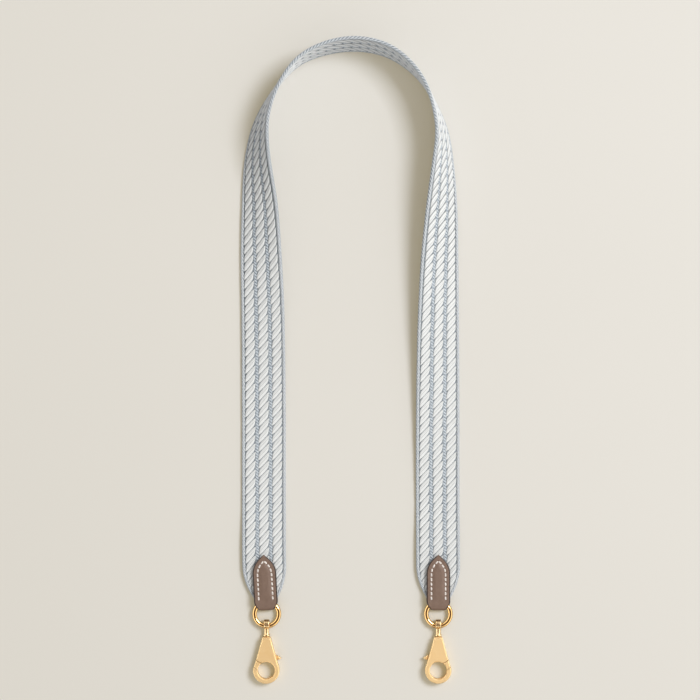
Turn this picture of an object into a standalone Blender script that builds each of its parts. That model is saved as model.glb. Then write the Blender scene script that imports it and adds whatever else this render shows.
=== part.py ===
"""A detachable bag strap, laid in an arch on a flat surface with a swivel snap hook on each end.

Metres, +Z up. The two legs of the strap run along Y and the surface it lies on is z = 0.
"""

import math

import bmesh
import bpy
import numpy as np
from mathutils import Matrix, Vector

# Webbing.
WEBBING_WIDTH = 0.025
WEBBING_THICKNESS = 0.0019
LEG_SPACING = 0.0982
ARCH_HEIGHT = 0.3144
END_TAPER_LENGTH = 0.019
END_TAPER_SHARE = 0.59
END_TAPER_POWER = 2.0
RISE_LENGTH = 0.030
PATH_SMOOTHING = 0.005
PATH_STEP = 0.001
LONGEST_STATION = 0.022
STATION_TURN = 6.0
TAPER_STATIONS = 7
RISE_STATIONS = 4

# The path of the middle of the webbing: across the legs as a share of their spacing, up the arch as a
# share of its height, and the lean of the band from lying flat as a share of a quarter turn.
PATH_SHARES = (
    (-0.500, 0.000, 0.000),
    (-0.510, 0.051, 0.000),
    (-0.513, 0.141, 0.000),
    (-0.514, 0.359, 0.033),
    (-0.520, 0.540, 0.133),
    (-0.528, 0.621, 0.233),
    (-0.534, 0.702, 0.367),
    (-0.546, 0.809, 0.644),
    (-0.530, 0.854, 0.767),
    (-0.491, 0.890, 0.867),
    (-0.440, 0.920, 0.933),
    (-0.296, 0.973, 1.033),
    (-0.186, 0.989, 1.078),
    (0.003, 1.000, 1.111),
    (0.205, 0.988, 1.089),
    (0.331, 0.961, 1.039),
    (0.417, 0.929, 0.983),
    (0.463, 0.898, 0.933),
    (0.498, 0.868, 0.870),
    (0.520, 0.835, 0.800),
    (0.522, 0.791, 0.689),
    (0.513, 0.684, 0.456),
    (0.504, 0.612, 0.344),
    (0.499, 0.540, 0.256),
    (0.495, 0.359, 0.089),
    (0.495, 0.141, 0.000),
    (0.497, 0.051, 0.000),
    (0.500, 0.000, 0.000),
)

# One face of the webbing from edge to edge: across as a share of half the width, and height as a share
# of half the thickness. Three rope ribs stand between two ditches and two edge bands.
RIB_SHARES = (
    (-1.00, 0.55),
    (-0.76, 1.00),
    (-0.40, 1.00),
    (-0.30, 0.70),
    (-0.20, 1.00),
    (0.20, 1.00),
    (0.30, 0.70),
    (0.40, 1.00),
    (0.78, 1.00),
    (1.00, 0.55),
)

# Leather tab, its filler and its thread. Heights along the tab count from the ring's wire.
FIT_GAP = 0.00015
LEATHER_THICKNESS = 0.0011
FOLD_THICKNESS = 0.0008
FILLER_THICKNESS = 0.00105
TAB_WIDTH = 0.0134
TAB_LENGTH = 0.0318
TAB_POINT_LENGTH = 0.0108
TAB_POINT_POWER = 2.2
TAB_POINT_CROWDING = 1.5
TAB_POINT_STEPS = 8
TAB_LINE_STEPS = 30
FOLD_SEGMENTS = 10
TAB_FOLD_REACH = 0.0049
TAB_CORNER_HEIGHT = 0.0047
WEBBING_END_HEIGHT = 0.0018
FILLER_INSET = 0.0006
STITCH_INSET = 0.0027
STITCH_START = 0.00115
STITCHES_PER_SIDE = 9
THREAD_WIDTH = 0.0005
THREAD_THICKNESS = 0.0005
THREAD_GAP = 0.00013
GROOVE_SIDE_GAP = 0.0002

# The cut lower corner of the tab: across as a share of half the width, up as a share of the corner height.
TAB_CORNER_SHARES = (
    (0.622, 0.000),
    (0.696, 0.190),
    (0.741, 0.300),
    (0.815, 0.450),
    (0.920, 0.680),
    (1.000, 1.000),
)

# Ring.
RING_RADIUS = 0.0069
RING_WIRE_RADIUS = 0.001375
RING_SEGMENTS = 36
WIRE_SEGMENTS = 12

# Snap hook body. Its origin is the middle of the round hole, +Y points at the ring.
HOOK_RADIUS = 0.0075
HOOK_HOLE_RADIUS = 0.00485
HOOK_HEIGHT = 0.019
HOOK_TOP_WIDTH = 0.0048
HOOK_THICKNESS = 0.0054
HOOK_BEVEL = 0.0004
HOOK_ROUND_FROM = 8.0
HOOK_SEGMENTS = 40
HOOK_ROUND_SEGMENTS = 29
KNUCKLE_SEGMENTS = 12
KNUCKLE_FROM = 195.0
KNUCKLE_TO = 275.0
CUT_MARGIN = 0.002

# Places on the hook, all as shares of its radius.
HOOK_SIDE_SHARES = ((0.767, 0.840), (0.860, 0.560), (0.940, 0.320))
GATE_PIN_SHARES = (-0.267, 1.200)
NOSE_LAP_SHARES = ((-1.040, 0.315), (-0.713, 0.073), (-0.610, -0.170))
SLOT_SHARES = (
    (1.020, 0.745),
    (1.020, 1.760),
    (-0.213, 1.587),
    (-0.480, 1.507),
    (-0.613, 1.280),
    (-0.640, 1.060),
    (-0.710, 0.840),
    (-0.620, 0.600),
    (-0.300, 0.500),
    (0.120, 0.600),
    (0.320, 0.755),
)
LEVER_ARM_SHARES = (
    (0.835, 0.793),
    (0.160, 0.840),
    (-0.067, 0.893),
    (-0.225, 0.860),
    (-0.380, 0.600),
    (-0.560, 0.520),
    (-0.690, 0.745),
    (-0.533, 1.040),
    (-0.540, 1.227),
    (-0.460, 1.400),
    (-0.267, 1.473),
    (-0.080, 1.413),
    (0.133, 1.320),
    (0.835, 1.133),
)
NUB_SHARES = (
    (0.815, 1.140),
    (1.140, 0.960),
    (1.100, 0.860),
    (0.925, 0.760),
    (0.865, 0.800),
    (0.790, 1.040),
)
SPRING_SHARES = (
    (0.490, 1.600),
    (-0.118, 1.551),
    (-0.141, 1.540),
    (-0.152, 1.518),
    (-0.146, 1.493),
    (-0.127, 1.478),
    (0.540, 1.268),
)

# Gate lever, its pin and its spring.
GATE_KNUCKLE_RADIUS = 0.0045
GATE_GAP = 0.0002
LEVER_THICKNESS = 0.0016
SLOT_THICKNESS = 0.0020
NUB_THICKNESS = 0.0026
PIN_RADIUS = 0.0008
PIN_WALL = 0.0006
PIN_SEGMENTS = 20
SPRING_THICKNESS = 0.0003
SPRING_WIDTH = 0.0014

# Swivel eye.
EYE_RADIUS = 0.0028
EYE_WIDTH = 0.0031
EYE_BEVEL = 0.0004
EYE_HOLE_RADIUS = 0.00175
EYE_HOLE_LENGTH = 0.0043
EYE_HOLE_CLEARANCE = 0.0002
EYE_TOP_WALL = 0.0011
NECK_RADIUS = 0.0015
NECK_LENGTH = 0.0031
EYE_HOLE_SEGMENTS = 10
DISC_SEGMENTS = 32
FLANGE_RADIUS = 0.0020
FLANGE_THICKNESS = 0.0011
FLANGE_ROUNDING = 0.0003
SWIVEL_GAP = 0.0003
POST_RADIUS = 0.00095
POST_HEAD_RADIUS = 0.00145
POST_HEAD_THICKNESS = 0.0010
POST_WALL = 0.0026
TURN_SEGMENTS = 20
HEAD_CHAMBER_DEPTH = 0.0045

# Where each clip hangs: name, ring across as a share of the leg spacing, ring below the webbing ends,
# tilt of the tab and of the hook in degrees, and the side that the thumb nub is on.
RING_DROP = 0.0087
CLIPS = (
    ("left", -0.4965, 2.9, -0.3, 1.0),
    ("right", 0.4975, 0.0, -0.2, -1.0),
)

STACK_HEIGHT = 2.0 * LEATHER_THICKNESS + WEBBING_THICKNESS + FILLER_THICKNESS + 3.0 * FIT_GAP
MID_HEIGHT = STACK_HEIGHT / 2.0


def clear_scene():
    for item in list(bpy.data.objects):
        bpy.data.objects.remove(item, do_unlink=True)


def material(name, colour, roughness, metallic):
    made = bpy.data.materials.new(name)
    made.use_nodes = True
    shader = made.node_tree.nodes["Principled BSDF"]
    shader.inputs["Base Color"].default_value = (*colour, 1.0)
    shader.inputs["Roughness"].default_value = roughness
    shader.inputs["Metallic"].default_value = metallic
    return made


def make_materials():
    return {
        "webbing": material("woven_cotton_webbing", (0.66, 0.69, 0.71), 0.85, 0.0),
        "leather": material("taupe_calf_leather", (0.25, 0.17, 0.13), 0.55, 0.0),
        "filler": material("tab_filler_leather", (0.36, 0.25, 0.17), 0.75, 0.0),
        "thread": material("waxed_white_thread", (0.82, 0.77, 0.74), 0.60, 0.0),
        "polished": material("polished_gold_plated_brass", (0.85, 0.58, 0.26), 0.12, 1.0),
        "satin": material("satin_gold_plated_brass", (0.84, 0.60, 0.30), 0.32, 1.0),
        "steel": material("spring_steel", (0.48, 0.48, 0.50), 0.30, 1.0),
    }


def object_from_bmesh(name, shape, smooth=False):
    bmesh.ops.recalc_face_normals(shape, faces=shape.faces)
    mesh = bpy.data.meshes.new(name)
    shape.to_mesh(mesh)
    shape.free()
    if smooth:
        mesh.shade_smooth()
    made = bpy.data.objects.new(name, mesh)
    bpy.context.scene.collection.objects.link(made)
    return made


def lofted(name, loops, closed=False, smooth=False):
    """A solid skin over loops of points that all have the same count; the ends are capped unless closed."""
    shape = bmesh.new()
    rings = [[shape.verts.new(point) for point in loop] for loop in loops]
    pairs = list(zip(rings, rings[1:]))
    if closed:
        pairs.append((rings[-1], rings[0]))
    for first, second in pairs:
        count = len(first)
        for index in range(count):
            following = (index + 1) % count
            shape.faces.new((first[index], first[following], second[following], second[index]))
    if not closed:
        shape.faces.new(rings[0])
        shape.faces.new(rings[-1])
    return object_from_bmesh(name, shape, smooth)


def prism(name, outline, low, high):
    """An upright solid over a plan outline."""
    return lofted(name, [[(x, y, z) for x, y in outline] for z in (low, high)])


def inset(outline, distance):
    """The outline moved in by a distance. It runs anticlockwise."""
    moved = []
    count = len(outline)
    for index, point in enumerate(outline):
        here = Vector(point)
        before = (here - Vector(outline[index - 1])).normalized()
        after = (Vector(outline[(index + 1) % count]) - here).normalized()
        normal = Vector((-before.y - after.y, before.x + after.x)).normalized()
        mitre = distance / max(normal.dot(Vector((-after.y, after.x))), 0.5)
        moved.append(tuple(here + normal * mitre))
    return moved


def bevelled_plate(name, outline, low, high, bevel):
    inner = inset(outline, bevel)
    levels = ((inner, low), (outline, low + bevel), (outline, high - bevel), (inner, high))
    return lofted(name, [[(x, y, z) for x, y in line] for line, z in levels])


def boxes(name, corner_sets):
    """Several separate eight-cornered blocks in one mesh; each set lists the low four, then the high four."""
    shape = bmesh.new()
    sides = ((0, 1, 2, 3), (4, 5, 6, 7), (0, 1, 5, 4), (1, 2, 6, 5), (2, 3, 7, 6), (3, 0, 4, 7))
    for corners in corner_sets:
        points = [shape.verts.new(corner) for corner in corners]
        for side in sides:
            shape.faces.new([points[index] for index in side])
    return object_from_bmesh(name, shape)


def combined(target, other, operation):
    """Joins, cuts or trims the target with another solid, which is used up."""
    modifier = target.modifiers.new(operation.lower(), "BOOLEAN")
    modifier.operation = operation
    modifier.solver = "EXACT"
    modifier.use_self = True
    modifier.object = other
    bpy.context.view_layer.update()
    graph = bpy.context.evaluated_depsgraph_get()
    mesh = bpy.data.meshes.new_from_object(target.evaluated_get(graph))
    target.modifiers.clear()
    target.data = mesh
    bpy.data.objects.remove(other, do_unlink=True)
    return target


def arc(centre, radius, first, last, segments):
    """Points on an arc between two angles in degrees, both ends included."""
    angles = [math.radians(first + (last - first) * index / segments) for index in range(segments + 1)]
    return [(centre[0] + radius * math.cos(angle), centre[1] + radius * math.sin(angle)) for angle in angles]


def circle(centre, radius, count):
    angles = [2.0 * math.pi * index / count for index in range(count)]
    return [(centre[0] + radius * math.cos(angle), centre[1] + radius * math.sin(angle)) for angle in angles]


def scaled(shares, size):
    return [(x * size, y * size) for x, y in shares]


def upright_section(middle, side, low, high):
    """Four corners across a line in plan, between two heights."""
    left = middle + side
    right = middle - side
    return [(left.x, left.y, low), (right.x, right.y, low), (right.x, right.y, high), (left.x, left.y, high)]


def smoothstep(value):
    value = min(max(value, 0.0), 1.0)
    return value * value * (3.0 - 2.0 * value)


def smoothed(values, window):
    """Values averaged along a line by a bell-shaped window; both ends stay where they are."""
    reach = len(window) // 2
    before = 2.0 * values[0] - values[reach:0:-1]
    after = 2.0 * values[-1] - values[-2 : -reach - 2 : -1]
    padded = np.concatenate([before, values, after])
    return np.stack([np.convolve(padded[:, column], window, "valid") for column in range(values.shape[1])], 1)


def band_path():
    """Closely spaced points along the middle of the webbing in plan, and its lean in degrees at each."""
    shares = np.array(PATH_SHARES)
    knots = shares * (LEG_SPACING, ARCH_HEIGHT, 90.0)
    chords = np.linalg.norm(np.diff(knots[:, :2], axis=0), axis=1)
    along = np.concatenate([[0.0], np.cumsum(chords)])
    slopes = np.gradient(knots, along, axis=0)
    count = round(along[-1] / PATH_STEP)
    places = np.linspace(0.0, along[-1], count)
    index = np.clip(np.searchsorted(along, places, side="right") - 1, 0, len(along) - 2)
    span = along[index + 1] - along[index]
    share = ((places - along[index]) / span)[:, None]
    span = span[:, None]
    dense = (
        (2.0 * share**3 - 3.0 * share**2 + 1.0) * knots[index]
        + (share**3 - 2.0 * share**2 + share) * span * slopes[index]
        + (3.0 * share**2 - 2.0 * share**3) * knots[index + 1]
        + (share**3 - share**2) * span * slopes[index + 1]
    )
    spread = PATH_SMOOTHING / PATH_STEP
    reach = round(3.0 * spread)
    offsets = np.arange(-reach, reach + 1)
    window = np.exp(-0.5 * (offsets / spread) ** 2)
    dense = smoothed(dense, window / window.sum())
    steps = np.linalg.norm(np.diff(dense[:, :2], axis=0), axis=1)
    return dense, np.concatenate([[0.0], np.cumsum(steps)])


def band_stations():
    """Frames along the webbing: middle point, direction across it, face normal and half width."""
    dense, along = band_path()
    headings = np.unwrap(np.arctan2(*np.gradient(dense[:, :2], axis=0).T[::-1]))
    turns = np.abs(np.gradient(headings)) + np.abs(np.gradient(np.radians(dense[:, 2])))
    chosen = [0]
    for index in range(1, len(dense)):
        turned = math.degrees(turns[chosen[-1] : index].sum())
        from_end = min(along[index], along[-1] - along[index])
        longest = LONGEST_STATION
        if from_end < END_TAPER_LENGTH:
            longest = END_TAPER_LENGTH / TAPER_STATIONS
        elif from_end < RISE_LENGTH + TAB_LENGTH:
            longest = RISE_LENGTH / RISE_STATIONS
        if turned > STATION_TURN or along[index] - along[chosen[-1]] > longest:
            chosen.append(index)
    chosen[-1] = len(dense) - 1
    stations = []
    for index in chosen:
        heading = headings[index]
        lean = math.radians(dense[index, 2])
        inward = Vector((math.sin(heading), -math.cos(heading), 0.0))
        across = inward * math.cos(lean) + Vector((0.0, 0.0, math.sin(lean)))
        normal = Vector((0.0, 0.0, math.cos(lean))) - inward * math.sin(lean)
        from_end = min(along[index], along[-1] - along[index])
        fill = min(from_end / END_TAPER_LENGTH, 1.0)
        share = END_TAPER_SHARE + (1.0 - END_TAPER_SHARE) * (1.0 - (1.0 - fill) ** END_TAPER_POWER)
        half = WEBBING_WIDTH / 2.0 * share
        lifted = 1.0 - smoothstep((from_end - TAB_LENGTH + TAB_FOLD_REACH) / RISE_LENGTH)
        height = half * math.sin(lean) + WEBBING_THICKNESS / 2.0 * abs(math.cos(lean))
        height += (LEATHER_THICKNESS + FIT_GAP) * lifted
        stations.append((Vector((dense[index, 0], dense[index, 1], height)), across, normal, half))
    return stations


def make_webbing():
    upper = [(share, rise) for share, rise in RIB_SHARES]
    lower = [(share, -rise) for share, rise in reversed(RIB_SHARES)]
    loops = []
    for middle, across, normal, half in band_stations():
        thick = WEBBING_THICKNESS / 2.0
        places = [(half * share, thick * rise) for share, rise in upper + lower]
        loops.append([middle + across * wide + normal * high for wide, high in places])
    return lofted("webbing", loops)


def tab_side(steps):
    """The right edge of the tab from the fold up to the point, in the tab's own frame."""
    half = TAB_WIDTH / 2.0
    tip = TAB_LENGTH - TAB_FOLD_REACH
    side = [(half * x, TAB_CORNER_HEIGHT * y - TAB_FOLD_REACH) for x, y in TAB_CORNER_SHARES]
    for index in range(steps + 1):
        share = index / steps
        depth = TAB_POINT_LENGTH * (1.0 - share) ** TAB_POINT_CROWDING
        width = half * (1.0 - (1.0 - depth / TAB_POINT_LENGTH) ** TAB_POINT_POWER)
        side.append((width, tip - depth))
    return side


def both_sides(right):
    """A closed outline from its right half, which ends on the middle line."""
    return right + [(-x, y) for x, y in reversed(right[:-1])]


def inner_side(distance, floor, steps):
    """The right half of a line that runs inside the tab's edge, from a height up to the middle."""
    side = tab_side(steps)
    moved = []
    for before, point, after in zip(side, side[1:], side[2:]):
        run = (Vector(after) - Vector(before)).normalized()
        moved.append((point[0] - run.y * distance, point[1] + run.x * distance))
    kept = [point for point in moved if point[0] > 0 and point[1] > floor]
    kept.insert(0, (TAB_WIDTH / 2.0 - distance, floor))
    last = Vector(kept[-1])
    run = (last - Vector(kept[-2])).normalized()
    kept.append((0.0, last.y - last.x * run.y / run.x))
    return kept


def stitch_places():
    """The places of the awl holes, evenly along the seam from its left end round to its right end."""
    half = inner_side(STITCH_INSET, STITCH_START, TAB_LINE_STEPS)
    line = [(-x, y) for x, y in half] + [(x, y) for x, y in reversed(half[:-1])]
    points = np.array(line)
    along = np.concatenate([[0.0], np.cumsum(np.linalg.norm(np.diff(points, axis=0), axis=1))])
    found = []
    for place in np.linspace(0.0, along[-1], 2 * STITCHES_PER_SIDE + 1):
        found.append((np.interp(place, along, points[:, 0]), np.interp(place, along, points[:, 1])))
    return found


def seam_frames():
    """Each hole with the unit direction along the seam and the one across it."""
    places = [Vector(place) for place in stitch_places()]
    frames = []
    for index, place in enumerate(places):
        before = places[max(index - 1, 0)]
        after = places[min(index + 1, len(places) - 1)]
        run = (after - before).normalized()
        frames.append((place, run, Vector((-run.y, run.x))))
    return frames


def hole_cutter(name, low, high):
    reach = THREAD_WIDTH / 2.0 + THREAD_GAP
    signs = ((-1, -1), (1, -1), (1, 1), (-1, 1))
    blocks = []
    for place, run, side in seam_frames():
        corners = [place + run * (reach * a) + side * (reach * b) for a, b in signs]
        blocks.append([(c.x, c.y, low) for c in corners] + [(c.x, c.y, high) for c in corners])
    return boxes(name, blocks)


def groove_cutter(name, low, high):
    reach = THREAD_WIDTH / 2.0 + GROOVE_SIDE_GAP
    frames = seam_frames()
    extra = THREAD_WIDTH / 2.0 + GROOVE_SIDE_GAP
    shifts = [-extra] + [0.0] * (len(frames) - 2) + [extra]
    loops = []
    for (place, run, side), shift in zip(frames, shifts):
        middle = place + run * shift
        loops.append(upright_section(middle, side * reach, low, high))
    return lofted(name, loops)


def fold_profile():
    """The bent strip seen from the side: along the tab and up, as one closed line."""
    far = TAB_LENGTH + CUT_MARGIN
    centre = MID_HEIGHT - TAB_FOLD_REACH
    outer = []
    inner = []
    inner_reach = TAB_FOLD_REACH - FOLD_THICKNESS + centre
    for index in range(FOLD_SEGMENTS + 1):
        angle = math.pi * (index / FOLD_SEGMENTS + 0.5)
        outer.append((centre + MID_HEIGHT * math.cos(angle), MID_HEIGHT - MID_HEIGHT * math.sin(angle)))
        inner.append((
            centre + inner_reach * math.cos(angle),
            MID_HEIGHT - (MID_HEIGHT - LEATHER_THICKNESS) * math.sin(angle),
        ))
    line = [(far, 0.0)] + outer + [(far, STACK_HEIGHT), (far, STACK_HEIGHT - LEATHER_THICKNESS)]
    return line + inner[::-1] + [(far, LEATHER_THICKNESS)]


def make_leather_tab(name):
    half = TAB_WIDTH / 2.0 + CUT_MARGIN
    profile = fold_profile()
    strip = lofted(name, [[(x, y, z) for y, z in profile] for x in (-half, half)])
    outline = both_sides(tab_side(TAB_POINT_STEPS))
    plan = prism("tab_plan", outline, -CUT_MARGIN, STACK_HEIGHT + CUT_MARGIN)
    combined(strip, plan, "INTERSECT")
    depth = THREAD_THICKNESS + THREAD_GAP
    over = STACK_HEIGHT + CUT_MARGIN
    combined(strip, groove_cutter("back_groove", -CUT_MARGIN, depth), "DIFFERENCE")
    combined(strip, groove_cutter("front_groove", STACK_HEIGHT - depth, over), "DIFFERENCE")
    return combined(strip, hole_cutter("tab_holes", -CUT_MARGIN, over), "DIFFERENCE")


def make_tab_filler(name):
    outline = both_sides(inner_side(FILLER_INSET, WEBBING_END_HEIGHT, TAB_POINT_STEPS))
    low = LEATHER_THICKNESS + WEBBING_THICKNESS + 2.0 * FIT_GAP
    filler = prism(name, outline, low, low + FILLER_THICKNESS)
    return combined(filler, hole_cutter("filler_holes", 0.0, STACK_HEIGHT), "DIFFERENCE")


def make_tab_thread(name):
    """The whole seam as one body: a run on each face of the tab and a post through every hole."""
    half = THREAD_WIDTH / 2.0
    columns = []
    for place, run, side in seam_frames():
        for sign in (-1.0, 1.0):
            columns.append((place + run * (half * sign), side))
    levels = (0.0, THREAD_THICKNESS, STACK_HEIGHT - THREAD_THICKNESS, STACK_HEIGHT)
    shape = bmesh.new()
    grid = []
    for middle, side in columns:
        edges = [middle - side * half, middle + side * half]
        grid.append([[shape.verts.new((edge.x, edge.y, level)) for level in levels] for edge in edges])
    last = len(grid) - 1
    for index in range(last):
        here, there = grid[index], grid[index + 1]
        is_post = index % 2 == 0
        for level in (0, 1, 2):
            if level == 1 and not is_post:
                continue
            for near, far in zip(here, there):
                shape.faces.new((near[level], far[level], far[level + 1], near[level + 1]))
        flat = (0, 3) if is_post else (0, 1, 2, 3)
        for level in flat:
            shape.faces.new((here[0][level], there[0][level], there[1][level], here[1][level]))
        if not is_post:
            for column in (here, there):
                shape.faces.new((column[0][1], column[1][1], column[1][2], column[0][2]))
    for column in (grid[0], grid[last]):
        for level in (0, 1, 2):
            shape.faces.new((column[0][level], column[1][level], column[1][level + 1], column[0][level + 1]))
    return object_from_bmesh(name, shape)


def make_ring(name):
    """Round wire ring. Its origin is the middle of the wire at the top, inside the leather fold."""
    loops = []
    for index in range(RING_SEGMENTS):
        angle = 2.0 * math.pi * index / RING_SEGMENTS
        loop = []
        for step in range(WIRE_SEGMENTS):
            turn = 2.0 * math.pi * step / WIRE_SEGMENTS
            reach = RING_RADIUS + RING_WIRE_RADIUS * math.cos(turn)
            height = RING_WIRE_RADIUS * math.sin(turn)
            loop.append((reach * math.cos(angle), reach * math.sin(angle) - RING_RADIUS, height))
        loops.append(loop)
    return lofted(name, loops, closed=True, smooth=True)


def turned(name, profile, segments, smooth=True):
    """A solid turned about Y from a list of radius and height, lowest first."""
    loops = []
    for radius, height in profile:
        angles = [2.0 * math.pi * index / segments for index in range(segments)]
        loops.append([(radius * math.cos(angle), height, radius * math.sin(angle)) for angle in angles])
    return lofted(name, loops, smooth=smooth)


def cross_disc(name, radius, half_width, bevel, centre, segments):
    """A disc lying across X with its middle at a height along Y."""
    levels = ((radius - bevel, -half_width), (radius, bevel - half_width), (radius, half_width - bevel))
    levels += ((radius - bevel, half_width),)
    loops = [[(x, centre + y, z) for y, z in circle((0.0, 0.0), size, segments)] for size, x in levels]
    return lofted(name, loops)


def eye_hole_outline(bottom):
    """The long round-ended hole of the eye, along Y and Z."""
    low = bottom + EYE_HOLE_RADIUS
    high = bottom + EYE_HOLE_LENGTH - EYE_HOLE_RADIUS
    lower = arc((low, 0.0), EYE_HOLE_RADIUS, 90.0, 270.0, EYE_HOLE_SEGMENTS)
    upper = arc((high, 0.0), EYE_HOLE_RADIUS, -90.0, 90.0, EYE_HOLE_SEGMENTS)
    return lower + upper


def make_swivel_eye(name):
    """Eye, neck, flange and headed post. Its origin is the middle of the ring's wire inside the hole."""
    hole_bottom = -RING_WIRE_RADIUS - EYE_HOLE_CLEARANCE
    top = hole_bottom + EYE_HOLE_LENGTH + EYE_TOP_WALL
    disc_centre = top - EYE_RADIUS
    body_top = HOOK_HEIGHT - eye_height()
    flange_low = body_top + SWIVEL_GAP
    flange_high = flange_low + FLANGE_THICKNESS
    head_top = body_top - POST_WALL - SWIVEL_GAP
    head_low = head_top - POST_HEAD_THICKNESS
    profile = (
        (POST_HEAD_RADIUS - FLANGE_ROUNDING, head_low),
        (POST_HEAD_RADIUS, head_low + FLANGE_ROUNDING),
        (POST_HEAD_RADIUS, head_top),
        (POST_RADIUS, head_top),
        (POST_RADIUS, flange_low),
        (FLANGE_RADIUS - FLANGE_ROUNDING, flange_low),
        (FLANGE_RADIUS, flange_low + FLANGE_ROUNDING),
        (FLANGE_RADIUS, flange_high - FLANGE_ROUNDING),
        (FLANGE_RADIUS - FLANGE_ROUNDING, flange_high),
        (NECK_RADIUS, flange_high),
        (NECK_RADIUS, disc_centre),
    )
    eye = turned(name, profile, TURN_SEGMENTS)
    disc = cross_disc("eye_disc", EYE_RADIUS, EYE_WIDTH / 2.0, EYE_BEVEL, disc_centre, DISC_SEGMENTS)
    combined(eye, disc, "UNION")
    reach = EYE_WIDTH
    outline = eye_hole_outline(hole_bottom)
    hole = lofted("eye_hole", [[(x, y, z) for y, z in outline] for x in (-reach, reach)])
    return combined(eye, hole, "DIFFERENCE")


def eye_height():
    """Height of the ring's wire above the hook's origin."""
    hole_floor = HOOK_HEIGHT + SWIVEL_GAP + FLANGE_THICKNESS + NECK_LENGTH
    return hole_floor + EYE_HOLE_CLEARANCE + RING_WIRE_RADIUS


def hook_outline():
    """The teardrop outline of the hook, anticlockwise from the top right corner."""
    half = HOOK_TOP_WIDTH / 2.0
    right = [(half, HOOK_HEIGHT)] + scaled(HOOK_SIDE_SHARES, HOOK_RADIUS)
    left = [(-x, y) for x, y in right]
    ends = (180.0 - HOOK_ROUND_FROM, 360.0 + HOOK_ROUND_FROM)
    around = arc((0.0, 0.0), HOOK_RADIUS, ends[0], ends[1], HOOK_ROUND_SEGMENTS)
    return left + around + right[::-1]


def hook_plate(name):
    half = HOOK_THICKNESS / 2.0
    plate = bevelled_plate(name, hook_outline(), -half, half, HOOK_BEVEL)
    flare = HOOK_HOLE_RADIUS + HOOK_BEVEL + CUT_MARGIN
    levels = (
        (flare, -half - CUT_MARGIN),
        (HOOK_HOLE_RADIUS, HOOK_BEVEL - half),
        (HOOK_HOLE_RADIUS, half - HOOK_BEVEL),
        (flare, half + CUT_MARGIN),
    )
    loops = [[(x, y, z) for x, y in circle((0.0, 0.0), size, HOOK_SEGMENTS)] for size, z in levels]
    return combined(plate, lofted("hook_hole", loops), "DIFFERENCE")


def gate_window(gap):
    """Plan outline of the space for the gate, drawn in by a gap: knuckle arc above, lap on the nose below."""
    pin = scaled([GATE_PIN_SHARES], HOOK_RADIUS)[0]
    knuckle = arc(pin, GATE_KNUCKLE_RADIUS + gap, KNUCKLE_FROM, KNUCKLE_TO, KNUCKLE_SEGMENTS)
    lap = [(x, y + gap) for x, y in scaled(NOSE_LAP_SHARES, HOOK_RADIUS)]
    return knuckle + lap[::-1] + [(-HOOK_RADIUS - CUT_MARGIN, lap[0][1])]


def make_hook_body(name):
    body = hook_plate(name)
    half = HOOK_THICKNESS / 2.0
    slot = SLOT_THICKNESS / 2.0
    pin = scaled([GATE_PIN_SHARES], HOOK_RADIUS)[0]
    over = half + CUT_MARGIN
    combined(body, prism("gate_space", gate_window(0.0), -over, over), "DIFFERENCE")
    combined(body, prism("lever_slot", scaled(SLOT_SHARES, HOOK_RADIUS), -slot, slot), "DIFFERENCE")
    bore = circle(pin, PIN_RADIUS + FIT_GAP, PIN_SEGMENTS)
    reach = half - PIN_WALL + FIT_GAP
    combined(body, prism("pin_bore", bore, -reach, reach), "DIFFERENCE")
    ceiling = HOOK_HEIGHT - POST_WALL
    chamber = POST_HEAD_RADIUS + GATE_GAP
    profile = (
        (chamber, ceiling - HEAD_CHAMBER_DEPTH),
        (chamber, ceiling),
        (POST_RADIUS + GATE_GAP, ceiling),
        (POST_RADIUS + GATE_GAP, HOOK_HEIGHT + CUT_MARGIN),
    )
    combined(body, turned("post_bore", profile, PIN_SEGMENTS, smooth=False), "DIFFERENCE")
    return body


def make_gate_lever(name):
    """Gate block, thin lever arm and thumb nub in one piece. Its origin is the pin."""
    gate = hook_plate(name)
    half = HOOK_THICKNESS / 2.0
    arm = LEVER_THICKNESS / 2.0
    nub = NUB_THICKNESS / 2.0
    pin = scaled([GATE_PIN_SHARES], HOOK_RADIUS)[0]
    over = half + CUT_MARGIN
    combined(gate, prism("gate_block", gate_window(GATE_GAP), -over, over), "INTERSECT")
    combined(gate, prism("lever_arm", scaled(LEVER_ARM_SHARES, HOOK_RADIUS), -arm, arm), "UNION")
    combined(gate, prism("thumb_nub", scaled(NUB_SHARES, HOOK_RADIUS), -nub, nub), "UNION")
    bore = prism("lever_bore", circle(pin, PIN_RADIUS + FIT_GAP, PIN_SEGMENTS), -half, half)
    combined(gate, bore, "DIFFERENCE")
    gate.data.transform(Matrix.Translation((-pin[0], -pin[1], 0.0)))
    return gate


def make_gate_pin(name):
    reach = HOOK_THICKNESS / 2.0 - PIN_WALL
    pin = scaled([GATE_PIN_SHARES], HOOK_RADIUS)[0]
    return prism(name, circle(pin, PIN_RADIUS, PIN_SEGMENTS), -reach, reach)


def make_gate_spring(name):
    """A bent leaf between the roof of the slot and the lever arm."""
    line = [Vector(point) for point in scaled(SPRING_SHARES, HOOK_RADIUS)]
    half = SPRING_WIDTH / 2.0
    thick = SPRING_THICKNESS / 2.0
    loops = []
    for index, place in enumerate(line):
        before = line[max(index - 1, 0)]
        after = line[min(index + 1, len(line) - 1)]
        run = (after - before).normalized()
        loops.append(upright_section(place, Vector((-run.y, run.x)) * thick, -half, half))
    return lofted(name, loops)


def finish(item, finish_material, origin, place):
    """Bakes a placing matrix into the mesh, keeps the origin where it belongs and gives the material."""
    where = place @ Vector(origin)
    item.data.transform(place)
    item.data.transform(Matrix.Translation(-where))
    if place.determinant() < 0:
        item.data.flip_normals()
    item.location = where
    item.data.materials.clear()
    item.data.materials.append(finish_material)


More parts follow.
